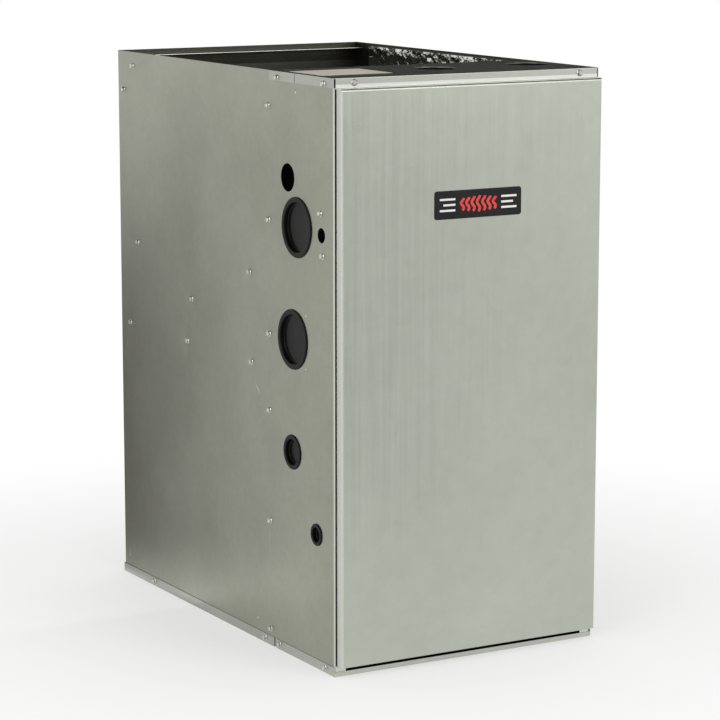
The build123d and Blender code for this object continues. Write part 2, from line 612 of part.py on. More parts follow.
def side_panel():
    """The left side panel: a sheet, folded in along its front and rear edges."""
    reach = -HALF + FRONT_FLANGE + REAR_RETURN
    outer = block((-HALF, reach), (FRONT, REAR), (SHEET, TOP))
    corners = outer.edges().filter_by(Axis.Z).sort_by(Axis.X)[:2]
    outer = fillet(corners, FOLD_RADIUS)
    inner = block((-INSIDE, reach), (FRONT + SHEET, REAR - SHEET), (0, TOP + SHEET))
    corners = inner.edges().filter_by(Axis.Z).sort_by(Axis.X)[:2]
    inner = fillet(corners, FOLD_RADIUS - SHEET)
    front_open = block((-HALF + FRONT_FLANGE, reach + PAST), (FRONT - PAST, 0), (0, TOP + PAST))
    rear_open = block((-HALF + REAR_RETURN, reach + PAST), (0, REAR + PAST), (0, TOP + PAST))
    under_cap = block((-HALF - PAST, reach), (FRONT - PAST, PANEL_REAR), (UNDER_CAP, TOP + PAST))
    relief = (FRONT - PAST, FRONT + PANEL_CORNER_RELIEF)
    corner = block((-HALF - PAST, -HALF + PANEL_CORNER_RELIEF), relief, (TOP - CAP_FLANGE, TOP + PAST))
    panel = cut(outer, [inner, front_open, rear_open, under_cap, corner])
    places = [(GAS_HOLE, GAS_HOLE_RADIUS), (WIRE_HOLE, WIRE_HOLE_RADIUS)]
    places += [((depth, height), hole) for depth, height, hole, _ in PLUGS.values()]
    for (depth, height), radius in places:
        panel -= rod("x", (-HALF - SHEET, FRONT + depth, height), 3 * SHEET, radius)
    for x, height in STUD_PLACES[:2]:
        panel -= rod("y", (x, FRONT - SHEET, height), 3 * SHEET, STUD_RADIUS + STUD_FIT)
    return cut(panel, screw_holes("x", on_side(-1, ALL_SIDE_SPOTS)) + screw_holes("y", REAR_POINTS))


def left_box_holes():
    """The two holes that only the left panel has, for the junction box."""
    return screw_holes("x", on_side(-1, JUNCTION_SPOTS))


def rear_panel():
    """The rear panel, with flanges folded forward against both side panels."""
    outer = block((-INSIDE, INSIDE), (REAR - SHEET - REAR_PANEL_FLANGE, REAR - SHEET), (SHEET, TOP))
    corners = outer.edges().filter_by(Axis.Z).sort_by(Axis.Y)[-2:]
    outer = fillet(corners, FOLD_RADIUS - SHEET)
    inside = (-INSIDE + SHEET, INSIDE - SHEET)
    inner = block(inside, (0, REAR - 2 * SHEET), (0, TOP + SHEET))
    spots = on_side(-1, [CORNER_SPOT]) + on_side(1, [CORNER_SPOT])
    return cut(outer - inner, screw_holes("x", spots) + screw_holes("y", REAR_POINTS))


def folded_panel(bottom, top, heights):
    """A panel across the cabinet whose side flanges fold back against the side panels."""
    outer = block((-INSIDE, INSIDE), (PANEL_FRONT, PANEL_REAR + PANEL_FLANGE), (bottom, top))
    corners = outer.edges().filter_by(Axis.Z).sort_by(Axis.Y)[:2]
    outer = fillet(corners, FOLD_RADIUS - SHEET)
    inside = (-INSIDE + SHEET, INSIDE - SHEET)
    inner = block(inside, (PANEL_REAR, REAR), (bottom - PAST, top + PAST))
    spots = [(SEAM_DEPTH, height) for height in heights]
    points = on_side(-1, spots) + on_side(1, spots)
    return cut(outer - inner, screw_holes("x", points))


def vestibule_panel():
    """The wall between the burners and the heat exchanger, which the tubes pass through."""
    panel = folded_panel(DECK_HEIGHT + LOOSE, UNDER_CAP, UPPER_SEAM_HEIGHTS)
    start = PANEL_FRONT - SHEET
    tubes = [rod("y", (x, start, BURNER_HEIGHT), 3 * SHEET, TUBE_RADIUS) for x in BURNER_X]
    coil = [rod("y", (x, start, z), 3 * SHEET, COIL_TUBE_RADIUS) for x in COIL_X for z in COIL_ROWS]
    return cut(panel, tubes + coil)


def blower_access_panel():
    """The wall in front of the blower, which carries the control tray."""
    return folded_panel(2 * SHEET + LOOSE, DECK_HEIGHT - LOOSE, LOWER_SEAM_HEIGHTS)


def cap():
    """The folded cap over the vestibule, with the intake and vent holes."""
    wide = HALF + SHEET
    outer = block((-wide, wide), (FRONT - SHEET, PANEL_REAR), (TOP - CAP_FLANGE, TOP))
    top_edges = outer.edges().group_by(Axis.Z)[-1].sort_by(Axis.Y)[:-1]
    outer = fillet(top_edges, CAP_EDGE_RADIUS)
    inner = block((-HALF, HALF), (FRONT, REAR), (0, UNDER_CAP))
    shell = outer - inner
    holes = [(INTAKE_X, INTAKE_Y), (VENT_X, VENT_Y)]
    cutters = [rod("z", (x, y, UNDER_CAP - PAST), 3 * SHEET, CAP_HOLE_RADIUS) for x, y in holes]
    for side in (-1, 1):
        edge = (side * wide, side * (wide - CAP_CORNER_NOTCH))
        cutters.append(block(edge, (FRONT - SHEET - PAST, FRONT), (0, UNDER_CAP)))
        relief = (FRONT + CAP_RELIEF_DEPTH, FRONT + CAP_RELIEF_DEPTH + CAP_RELIEF_WIDTH)
        cutters.append(block((side * HALF, side * (wide + PAST)), relief, (0, UNDER_CAP)))
        cutters += screw_holes("x", on_side(side, CAP_SPOTS, SHEET))
    return cut(shell, cutters + screw_holes("y", CAP_FRONT_POINTS))


def top_front_rail():
    """An angle behind the cap's front flange, between the side panels' flanges."""
    half = HALF - FRONT_FLANGE - LOOSE
    bottom = UNDER_CAP - TOP_RAIL_HEIGHT
    face = block((-half, half), (FRONT, FRONT + SHEET), (bottom, UNDER_CAP))
    shelf = block((-half, half), (FRONT, FRONT + TOP_RAIL_SHELF), (bottom, bottom + SHEET))
    return cut(face + shelf, screw_holes("y", CAP_FRONT_POINTS))


def base_rail(start, end, strip_front, strip_height):
    """A U of base angle between two depths, closed at its front or its rear."""
    wide = HALF + SHEET
    y0, y1 = FRONT + start, FRONT + end
    rail = None
    for side in (-1, 1):
        strip = block((side * HALF, side * wide), (y0, y1), (0, BASE_STRIP))
        leg = block((side * (wide - BASE_LEG), side * wide), (y0, y1), (0, SHEET))
        rail = strip + leg if rail is None else rail + strip + leg
    if strip_front:
        across = block((-wide, wide), (FRONT - SHEET, FRONT), (0, strip_height))
        leg = block((-wide, wide), (FRONT - SHEET, FRONT - SHEET + BASE_LEG), (0, SHEET))
    else:
        across = block((-wide, wide), (REAR, REAR + SHEET), (0, strip_height))
        leg = block((-wide, wide), (REAR + SHEET - BASE_LEG, REAR + SHEET), (0, SHEET))
    rail = rail + across + leg
    spots = on_side(-1, BASE_SPOTS, SHEET) + on_side(1, BASE_SPOTS, SHEET)
    return cut(rail, screw_holes("x", spots))


def bottom_panel():
    """The plate that closes the return opening: flush below, with a raised lip on the base legs."""
    half = HALF + SHEET - BASE_LEG - LOOSE
    y0 = FRONT - SHEET + BASE_LEG + LOOSE
    y1 = REAR + SHEET - BASE_LEG - LOOSE
    plate = block((-half, half), (y0, y1), (0, SHEET))
    lip = block(
        (-half - BOTTOM_LIP, half + BOTTOM_LIP), (y0 - BOTTOM_LIP, y1 + BOTTOM_LIP), (SHEET, 2 * SHEET)
    )
    dish = block((-half + SHEET, half - SHEET), (y0 + SHEET, y1 - SHEET), (SHEET, 3 * SHEET))
    return plate + (lip - dish)


def plug(side, depth, height, hole, flange):
    """A snap-in plug: a flange outside the panel and a dished cup through the hole."""
    face = side * HALF
    out = side * PLUG_FLANGE
    y = FRONT + depth
    body = rod("x", (face, y, height), out, flange)
    body += rod("x", (face + out, y, height), -out - side * PLUG_LENGTH, hole - PLUG_FIT)
    dish = hole - PLUG_FIT - PLUG_WALL
    return body - rod("x", (face + out, y, height), -out - side * PLUG_DISH, dish)


def right_hole_plugs():
    """The right side has the same holes, all closed."""
    plugs = [plug(1, *sizes) for sizes in PLUGS.values()]
    for (depth, height), hole in ((GAS_HOLE, GAS_HOLE_RADIUS), (WIRE_HOLE, WIRE_HOLE_RADIUS)):
        plugs.append(plug(1, depth, height, hole, hole + PLUG_FLANGE_REACH))
    return plugs


def label():
    """A blank paper label on the cap."""
    x = (LABEL_LEFT, LABEL_LEFT + LABEL_WIDTH)
    y = FRONT + LABEL_DEPTH
    return block(x, (y, y + LABEL_LENGTH), (TOP, TOP + LABEL_THICKNESS))


def duct_flange():
    """The angle on the rear panel that the supply duct stands on."""
    half = INSIDE - SHEET
    level = TOP - DUCT_FLANGE_DROP
    wall = REAR - 2 * SHEET
    leg = block((-half, half), (wall - SHEET, wall), (level - DUCT_FLANGE_LEG, level + SHEET))
    shelf = block((-half, half), (wall - DUCT_FLANGE_SHELF, wall), (level, level + SHEET))
    return leg + shelf


def foil_liner():
    """Foil-faced pads on both inner walls of the heat exchanger compartment."""
    pads = []
    for side in (-1, 1):
        x = (side * (INSIDE - LINER_THICKNESS), side * INSIDE)
        y = (PANEL_REAR + PANEL_FLANGE + LOOSE, REAR - LINER_REAR_GAP)
        pad = block(x, y, (RAIL_TOP + LINER_RAIL_GAP, TOP - LINER_TOP_GAP))
        pads.append(cut(pad, screw_holes("x", on_side(side, [LINER_SPOT]))))
    return pads


# ---- door ----

def door_skin():
    """The door: a pan folded back on all four sides."""
    half = DOOR_WIDTH / 2
    outer = block((-half, half), (DOOR_FRONT, DOOR_REAR), (DOOR_BOTTOM, DOOR_TOP))
    outer = fillet(outer.edges().group_by(Axis.Y)[0], DOOR_FOLD_RADIUS)
    low, high = DOOR_BOTTOM + SHEET, DOOR_TOP - SHEET
    inner = block((-half + SHEET, half - SHEET), (DOOR_INNER, DOOR_REAR + PAST), (low, high))
    inner = fillet(inner.edges().group_by(Axis.Y)[0], DOOR_FOLD_RADIUS - SHEET)
    return outer - inner


def door_pad():
    """The insulation glued inside the door."""
    half = DOOR_WIDTH / 2 - DOOR_PAD_MARGIN
    z = (DOOR_BOTTOM + DOOR_PAD_MARGIN, DOOR_TOP - DOOR_PAD_MARGIN)
    return block((-half, half), (DOOR_INNER, PAD_REAR), z)


def door_studs():
    """Four round studs that carry the door in its clips."""
    studs = []
    for x, z in STUD_PLACES:
        stud = rod("y", (x, DOOR_INNER, z), FRONT + STUD_REACH - DOOR_INNER, STUD_RADIUS)
        tip = stud.edges().group_by(Axis.Y)[-1]
        studs.append(fillet(tip, STUD_TIP_RADIUS))
    return studs


def door_clips():
    """Collars behind the flanges that the studs push into."""
    bore = STUD_RADIUS + STUD_FIT
    start = FRONT + SHEET
    return [ring("y", (x, start, z), CLIP_LENGTH, bore + CLIP_WALL, bore) for x, z in STUD_PLACES]


def door_gasket():
    """Foam strips on the flanges, up both sides and across the top."""
    outer = HALF - GASKET_INSET
    y = (FRONT - GASKET_THICKNESS, FRONT)
    top = DOOR_TOP - SHEET
    strips = []
    for side in (-1, 1):
        x = (side * (outer - GASKET_WIDTH), side * outer)
        strip = block(x, y, (DOOR_BOTTOM + SHEET, top))
        for height in STUD_HEIGHTS:
            start = (side * STUD_X, FRONT - GASKET_THICKNESS - PAST, height)
            strip -= rod("y", start, GASKET_THICKNESS + 2 * PAST, STUD_RADIUS + LOOSE)
        strips.append(strip)
    half = outer - GASKET_WIDTH
    strips.append(block((-half, half), y, (top - GASKET_WIDTH, top)))
    return strips


def badge():
    """The bare badge plate."""
    plate = extrude(RectangleRounded(BADGE_WIDTH, BADGE_HEIGHT, BADGE_CORNER), BADGE_THICKNESS)
    spot = Plane(origin=(BADGE_X, DOOR_FRONT, BADGE_CENTRE_HEIGHT), x_dir=(1, 0, 0), z_dir=(0, -1, 0))
    return spot.location * plate


# ---- blower ----

def blower_deck():
    """The shelf between the blower and the heat exchanger, open where the blower discharges."""
    front = PANEL_REAR + PANEL_FLANGE + LOOSE
    rear = REAR - SHEET - REAR_PANEL_FLANGE - LOOSE
    narrow = INSIDE - SHEET - LOOSE
    z = (DECK_BOTTOM, DECK_HEIGHT)
    deck = block((-INSIDE, INSIDE), (front, rear), z)
    deck += block((-narrow, narrow), (PANEL_REAR, REAR - 2 * SHEET), z)
    for side in (-1, 1):
        x = (side * (INSIDE - SHEET), side * INSIDE)
        deck += block(x, (front, rear), (DECK_HEIGHT, DECK_HEIGHT + DECK_FLANGE))
    half = SCROLL_WIDTH / 2 - SCROLL_SHEET
    mouth = block((-half, half), discharge_span(SCROLL_SHEET), (DECK_BOTTOM - PAST, DECK_HEIGHT + PAST))
    spots = on_side(-1, DECK_SPOTS) + on_side(1, DECK_SPOTS)
    return cut(deck, [mouth] + screw_holes("x", spots))


def scroll_arcs(inset):
    """The scroll's arcs, each radius one step smaller: radius, centre, start and sweep."""
    radii = [SCROLL_RADIUS - SCROLL_STEP * i - inset for i in range(4)]
    centres = [(0, 0), (0, -SCROLL_STEP), (-SCROLL_STEP, -SCROLL_STEP), (-SCROLL_STEP, 0)]
    starts = (0, -90, -180, -270)
    sweeps = (-90, -90, -90, -TONGUE_ANGLE)
    return list(zip(radii, centres, starts, sweeps))


def discharge_span(inset):
    """The discharge duct's inner walls along Y."""
    radius, centre = scroll_arcs(0)[-1][:2]
    tongue = centre[0] + radius * math.sin(math.radians(TONGUE_ANGLE)) + TONGUE_LIP
    return BLOWER_Y + tongue + inset, BLOWER_Y + SCROLL_RADIUS - inset


def scroll_face(inset, top):
    """The scroll's outline in the Y-Z plane, drawn inside the outer one by the inset."""
    wall = SCROLL_RADIUS - inset
    edges = [Line((wall, top), (wall, 0))]
    for radius, centre, start, sweep in scroll_arcs(inset):
        edges.append(CenterArc(centre, radius, start, sweep))
    tip = edges[-1] @ 1
    tongue = discharge_span(inset)[0] - BLOWER_Y
    edges.append(Line(tip, (tongue, tip.Y)))
    edges.append(Line((tongue, tip.Y), (tongue, top)))
    edges.append(Line((tongue, top), (wall, top)))
    return make_face(Wire([edge.edge() for edge in edges]))


def scroll_solid(inset, x, top):
    """The scroll's outline drawn out between two values of x."""
    plane = Plane(origin=(min(x), BLOWER_Y, BLOWER_HEIGHT), x_dir=(0, 1, 0), z_dir=(1, 0, 0))
    return extrude(plane.location * scroll_face(inset, top), abs(x[1] - x[0]), dir=(1, 0, 0))


def blower_housing():
    """The scroll: a wrap between two side sheets, each with a rolled inlet and a flange on the deck."""
    half = SCROLL_WIDTH / 2
    inside = half - SCROLL_SHEET
    rise = DECK_BOTTOM - BLOWER_HEIGHT
    inlet = INLET_RADIUS + INLET_RING_WALL
    hollow = scroll_solid(SCROLL_SHEET, (-half, half), rise + PAST)
    pieces = [scroll_solid(0, (-inside, inside), rise) - hollow]
    for side in (-1, 1):
        start = (side * half, BLOWER_Y, BLOWER_HEIGHT)
        sheet = scroll_solid(0, (side * inside, side * half), rise)
        sheet += rod("x", start, -side * INLET_RING_LENGTH, inlet)
        sheet -= rod("x", start, -side * INLET_RING_LENGTH, INLET_RADIUS)
        x = (side * half, side * (half + SCROLL_FLANGE))
        pieces.append(sheet + block(x, discharge_span(0), (DECK_BOTTOM - SHEET, DECK_BOTTOM)))
    return pieces


def blower_wheel():
    """A squirrel-cage wheel: a disc with its hub, slotted for the blades, and a ring at each end."""
    rim = WHEEL_RADIUS - BLADE_CHORD / 2
    blade = Box(WHEEL_WIDTH - 2 * WHEEL_RING, BLADE_THICKNESS, BLADE_CHORD)
    blade = Pos(0, 0, rim - BLADE_INSET) * Rot(BLADE_TILT, 0, 0) * blade
    blades = [Rot(360 / BLADE_COUNT * i, 0, 0) * blade for i in range(BLADE_COUNT)]
    start = (WHEEL_DISC_X, 0, 0)
    disc = rod("x", start, WHEEL_DISC_THICKNESS, rim) + rod("x", start, -WHEEL_HUB_LENGTH, WHEEL_HUB_RADIUS)
    length = BLOWER_SHAFT_TIP + WHEEL_HUB_LENGTH + WHEEL_DISC_THICKNESS
    shaft = rod("x", (BLOWER_SHAFT_START, 0, 0), length + PAST, BLOWER_SHAFT_RADIUS)
    disc = cut(disc, [shaft] + blades)
    end = WHEEL_WIDTH / 2
    rings = [ring("x", (side * end, 0, 0), -side * WHEEL_RING, WHEEL_RADIUS, rim) for side in (-1, 1)]
    return [Pos(*BLOWER_AXIS) * item for item in [disc, *rings, *blades]]


def blower_shaft():
    """The motor's shaft, which carries the wheel."""
    length = BLOWER_MOTOR_START + MOTOR_BORE - LOOSE - BLOWER_SHAFT_START
    start = (BLOWER_SHAFT_START, BLOWER_Y, BLOWER_HEIGHT)
    return rod("x", start, length, BLOWER_SHAFT_RADIUS)


def blower_motor():
    """The motor, partly inside the wheel."""
    start = (BLOWER_MOTOR_START, BLOWER_Y, BLOWER_HEIGHT)
    body = rod("x", start, BLOWER_MOTOR_LENGTH, BLOWER_MOTOR_RADIUS)
    rims = body.edges().filter_by(GeomType.CIRCLE)
    body = fillet(rims, BLOWER_MOTOR_EDGE)
    return body - rod("x", start, MOTOR_BORE, BLOWER_SHAFT_RADIUS + SHAFT_FIT)


def motor_mount():
    """A band round the motor with three arms that stand on the housing's right side."""
    plate = SCROLL_WIDTH / 2
    start = (plate, BLOWER_Y, BLOWER_HEIGHT)
    outer = BLOWER_MOTOR_RADIUS + BAND_THICKNESS
    mount = ring("x", start, BAND_WIDTH, outer, BLOWER_MOTOR_RADIUS)
    radial = (BLOWER_MOTOR_RADIUS + BAND_THICKNESS / 2, INLET_RADIUS + ARM_OVERLAP)
    arm = block((plate, plate + ARM_THICKNESS), (-ARM_WIDTH / 2, ARM_WIDTH / 2), radial)
    for turn in ARM_TURNS:
        mount += Pos(0, BLOWER_Y, BLOWER_HEIGHT) * Rot(turn, 0, 0) * arm
    return mount


# ---- heat exchanger ----

def primary_tube(x):
    """One tube that runs back, forward and back again, into the coupling box."""
    start = PANEL_FRONT - TUBE_STICK_OUT
    top, middle, low = PASS_HEIGHTS
    path = Line((x, start, top), (x, TUBE_REAR, top))
    bend = (x, TUBE_REAR + TUBE_BEND, (top + middle) / 2)
    path += ThreePointArc((x, TUBE_REAR, top), bend, (x, TUBE_REAR, middle))
    path += Line((x, TUBE_REAR, middle), (x, TUBE_FRONT, middle))
    bend = (x, TUBE_FRONT - TUBE_BEND, (middle + low) / 2)
    path += ThreePointArc((x, TUBE_FRONT, middle), bend, (x, TUBE_FRONT, low))
    path += Line((x, TUBE_FRONT, low), (x, COUPLING_FRONT, low))
    section = Circle(TUBE_RADIUS) - Circle(TUBE_RADIUS - TUBE_WALL)
    return sweep(Plane(origin=(x, start, top), z_dir=(0, 1, 0)) * section, path=path)


def coupling_box():
    """The box at the rear that turns the gas from the tubes into the coil: a front plate on a pan."""
    half = COUPLING_HALF_WIDTH
    x, z = (-half, half), (COIL_FLOOR, COUPLING_TOP)
    joint = COUPLING_FRONT + SHEET
    plate = block(x, (COUPLING_FRONT, joint), z)
    low, bore = PASS_HEIGHTS[-1], TUBE_RADIUS - TUBE_WALL
    gas = [rod("y", (bx, COUPLING_FRONT, low), SHEET, bore) for bx in BURNER_X]
    bore = COIL_TUBE_RADIUS - COIL_TUBE_WALL
    coil = [rod("y", (cx, COUPLING_FRONT, cz), SHEET, bore) for cx in COIL_X for cz in COIL_ROWS]
    inner_x, inner_z = (SHEET - half, half - SHEET), (z[0] + SHEET, z[1] - SHEET)
    pan = block(x, (joint, COUPLING_REAR), z) - block(inner_x, (joint - PAST, COUPLING_REAR - SHEET), inner_z)
    return [cut(plate, gas + coil), pan]


def coil_tubes():
    """The condensing coil's straight tubes, from the cold header to the coupling box."""
    length = COUPLING_FRONT - PANEL_FRONT
    inner = COIL_TUBE_RADIUS - COIL_TUBE_WALL
    starts = [(x, PANEL_FRONT, z) for x in COIL_X for z in COIL_ROWS]
    return [ring("y", start, length, COIL_TUBE_RADIUS, inner) for start in starts]


def coil_fins():
    """Thin plates on the coil's tubes."""
    half = COUPLING_HALF_WIDTH - SHEET
    pitch = (FIN_REAR - FIN_FRONT) / (FIN_COUNT - 1)
    fin = block((-half, half), (FIN_FRONT, FIN_FRONT + FIN_THICKNESS), (FIN_BOTTOM, FIN_TOP))
    starts = [(x, FIN_FRONT - PAST, z) for x in COIL_X for z in COIL_ROWS]
    fin = cut(fin, [rod("y", start, FIN_THICKNESS + 2 * PAST, COIL_TUBE_RADIUS) for start in starts])
    return [Pos(0, pitch * i, 0) * fin for i in range(FIN_COUNT)]


def coil_end_plates():
    """A plate at each end of the fins."""
    y = (FIN_FRONT, FIN_REAR + FIN_THICKNESS)
    half = COUPLING_HALF_WIDTH
    return [block((s * (half - SHEET), s * half), y, (FIN_BOTTOM, FIN_TOP)) for s in (-1, 1)]


def coil_brackets():
    """Channels between the coil's end plates and the side panels."""
    brackets = []
    middle = FRONT + COIL_SCREW_DEPTH
    y = (middle - COIL_BRACKET_LENGTH / 2, middle + COIL_BRACKET_LENGTH / 2)
    z = (COIL_BRACKET_BOTTOM, COIL_BRACKET_BOTTOM + COIL_BRACKET_LEG)
    for side in (-1, 1):
        inner, outer = side * COUPLING_HALF_WIDTH, side * INSIDE
        base = block((inner, outer), y, (z[0], z[0] + SHEET))
        wall = block((outer - side * SHEET, outer), y, z)
        plate = block((inner, inner + side * SHEET), y, z)
        brackets.append(cut(base + wall + plate, screw_holes("x", on_side(side, [COIL_SPOT]))))
    return brackets


def support_rails():
    """An angle on each side panel that the cross bars lie on."""
    rails = []
    y = (RAIL_FRONT, RAIL_REAR)
    for side in (-1, 1):
        outer = side * INSIDE
        leg = block((outer - side * SHEET, outer), y, (RAIL_BOTTOM, RAIL_TOP))
        shelf = block((outer - side * RAIL_LEG, outer), y, (RAIL_TOP - SHEET, RAIL_TOP))
        rails.append(cut(leg + shelf, screw_holes("x", on_side(side, RAIL_SPOTS))))
    return rails


def cross_bars():
    """Two bars across the rails, under the lowest pass of the tubes."""
    x, z = (-INSIDE + LOOSE, INSIDE - LOOSE), (RAIL_TOP, RAIL_TOP + CROSS_BAR_HEIGHT)
    return [block(x, (y, y + CROSS_BAR_WIDTH), z) for y in CROSS_BARS]


# ---- burners and gas ----

def burner_box():
    """The sheet box round the burners, open at its rear."""
    x, z = (BURNER_BOX_LEFT, BURNER_BOX_RIGHT), (BURNER_BOX_BOTTOM, BURNER_BOX_TOP)
    outer = block(x, (BURNER_BOX_Y, PANEL_FRONT), z)
    inner = block((x[0] + SHEET, x[1] - SHEET), (BURNER_BOX_Y + SHEET, REAR), (z[0] + SHEET, z[1] - SHEET))
    past = SHEET + 2 * PAST
    radius = ORIFICE_RADIUS + ORIFICE_CLEARANCE
    jets = [rod("y", (bx, BURNER_BOX_Y - PAST, BURNER_HEIGHT), past, radius) for bx in BURNER_X]
    air = rod("z", (INTAKE_X, INTAKE_Y, z[1] - SHEET - PAST), past, PIPE_RADIUS - PIPE_WALL)
    rods = [rod("z", (sx, SENSOR_Y, z[0] - PAST), past, SENSOR_RADIUS) for sx in SENSOR_X]
    return cut(outer - inner, jets + [air] + rods)


def burners():
    """Three in-shot burner tubes through one plate between the box's walls."""
    front = PANEL_FRONT - BURNER_PLATE_INSET
    x = (BURNER_BOX_LEFT + SHEET, BURNER_BOX_RIGHT - SHEET)
    z = (BURNER_BOX_BOTTOM + SHEET, BURNER_BOX_TOP - SHEET)
    plate = block(x, (front, front + BURNER_PLATE_THICKNESS), z)
    starts = [(bx, BURNER_END, BURNER_HEIGHT) for bx in BURNER_X]
    plate = cut(plate, [rod("y", start, -BURNER_LENGTH, BURNER_RADIUS) for start in starts])
    bore = BURNER_RADIUS - BURNER_WALL
    return [plate] + [ring("y", start, -BURNER_LENGTH, BURNER_RADIUS, bore) for start in starts]


def gas_manifold():
    """The pipe from the gas valve, with two brackets to the burner box."""
    end = BURNER_X[-1] + MANIFOLD_OVERHANG
    pipe = rod("x", (VALVE_RIGHT, MANIFOLD_Y, BURNER_HEIGHT), end - VALVE_RIGHT, MANIFOLD_RADIUS)
    wide, thick = MANIFOLD_BRACKET_WIDTH / 2, MANIFOLD_BRACKET_THICKNESS / 2
    for left, right in zip(BURNER_X, BURNER_X[1:]):
        x = (left + right) / 2
        z = (BURNER_HEIGHT - thick, BURNER_HEIGHT + thick)
        pipe += block((x - wide, x + wide), (MANIFOLD_Y, BURNER_BOX_Y), z)
    return cut(pipe, orifices())


def orifices():
    """A brass jet for each burner."""
    return [rod("y", (x, MANIFOLD_Y, BURNER_HEIGHT), ORIFICE_LENGTH, ORIFICE_RADIUS) for x in BURNER_X]


def gas_valve():
    """The valve body, with its inlet boss towards the left side."""
    y = (VALVE_FRONT, MANIFOLD_Y + VALVE_REAR_REACH)
    body = block((VALVE_LEFT, VALVE_RIGHT), y, (VALVE_BOTTOM, VALVE_TOP))
    body = fillet(body.edges().filter_by(Axis.X), VALVE_EDGE_RADIUS)
    height = BURNER_HEIGHT - VALVE_INLET_DROP
    body += rod("x", (VALVE_LEFT, MANIFOLD_Y, height), -VALVE_INLET_LENGTH, VALVE_INLET_RADIUS)
    mouth = (VALVE_LEFT - VALVE_INLET_LENGTH, MANIFOLD_Y, height)
    body -= rod("x", mouth, VALVE_INLET_BORE, VALVE_INLET_RADIUS - VALVE_INLET_WALL)
    stem = rod("y", (KNOB_X, VALVE_FRONT, KNOB_HEIGHT), KNOB_STEM_LENGTH, KNOB_STEM_RADIUS + SHAFT_FIT)
    return body - stem


def gas_valve_knob():
    """The on-off knob: a disc with a grip bar, on a stem in the valve."""
    face = VALVE_FRONT - KNOB_GAP
    knob = rod("y", (KNOB_X, face, KNOB_HEIGHT), -KNOB_LENGTH / 2, KNOB_RADIUS)
    wide, long = KNOB_GRIP_WIDTH / 2, KNOB_GRIP_LENGTH / 2
    z = (KNOB_HEIGHT - long, KNOB_HEIGHT + long)
    knob += block((KNOB_X - wide, KNOB_X + wide), (face - KNOB_LENGTH, face - KNOB_LENGTH / 2), z)
    return knob + rod("y", (KNOB_X, face, KNOB_HEIGHT), KNOB_STEM_LENGTH + KNOB_GAP - LOOSE, KNOB_STEM_RADIUS)


def rollout_switches():
    """A manual-reset heat switch on each end of the burner box's top."""
    bodies = []
    half = SWITCH_SIZE / 2
    z = (BURNER_BOX_TOP, BURNER_BOX_TOP + SWITCH_HEIGHT)
    for x in ROLLOUT_X:
        body = block((x - half, x + half), (ROLLOUT_Y - half, ROLLOUT_Y + half), z)
        bodies.append(body - rod("z", (x, ROLLOUT_Y, z[1]), -BUTTON_WELL, BUTTON_RADIUS + SHAFT_FIT))
    return bodies


def reset_button(x):
    """The button that pops out of a rollout switch."""
    foot = BURNER_BOX_TOP + SWITCH_HEIGHT - BUTTON_WELL + BUTTON_TRAVEL + LOOSE
    top = BURNER_BOX_TOP + SWITCH_HEIGHT + BUTTON_REACH
    return rod("z", (x, ROLLOUT_Y, foot), top - foot, BUTTON_RADIUS)


def flame_rod(x):
    """A ceramic rod through the burner box's floor, with a collar under it."""
    body = rod("z", (x, SENSOR_Y, BURNER_BOX_BOTTOM - SENSOR_TAIL), SENSOR_LENGTH, SENSOR_RADIUS)
    return body + rod("z", (x, SENSOR_Y, BURNER_BOX_BOTTOM), -SENSOR_COLLAR_LENGTH, SENSOR_COLLAR_RADIUS)


# ---- intake, vent and inducer ----

def pipe_with_socket(x, y, bottom):
    """A pipe up to a socket under the cap, which a two-inch pipe pushes into."""
    shoulder = UNDER_CAP - SOCKET_LENGTH
    body = rod("z", (x, y, bottom), shoulder - bottom, PIPE_RADIUS)
    body += rod("z", (x, y, shoulder - PIPE_WALL), SOCKET_LENGTH + PIPE_WALL, SOCKET_RADIUS)
    body -= rod("z", (x, y, bottom - PAST), UNDER_CAP - bottom + 2 * PAST, PIPE_RADIUS - PIPE_WALL)
    return body - rod("z", (x, y, shoulder), SOCKET_LENGTH + PAST, SOCKET_BORE)


def cold_header():
    """The plastic cover over the coil's front end, open at its rear."""
    x, z = (HEADER_LEFT, HEADER_RIGHT), (COIL_FLOOR, HEADER_TOP)
    wall = HEADER_WALL
    outer = fillet(block(x, (HEADER_FRONT, PANEL_FRONT), z).edges().filter_by(Axis.Y), HEADER_CORNER)
    inner = block((x[0] + wall, x[1] - wall), (HEADER_FRONT + wall, REAR), (z[0] + wall, z[1] - wall))
    inner = fillet(inner.edges().filter_by(Axis.Y), HEADER_CORNER - wall)
    inlet = rod("y", (INDUCER_X, HEADER_FRONT, INDUCER_HEIGHT), wall, INDUCER_INLET_RADIUS)
    spout = rod("z", (TRAP_X, SPOUT_Y, COIL_FLOOR), -DRAIN_SPOUT, DRAIN_HOSE_RADIUS)
    nipple = rod("z", (HOSE_END_X, PRESSURE_SWITCH_Y, HEADER_TOP), NIPPLE_LENGTH, NIPPLE_RADIUS)
    start = (TRAP_X, SPOUT_Y, COIL_FLOOR - DRAIN_SPOUT)
    drain = rod("z", start, DRAIN_SPOUT + wall + PAST, DRAIN_HOSE_RADIUS - DRAIN_HOSE_WALL)
    return cut(outer - inner + spout + nipple, [inlet, drain])


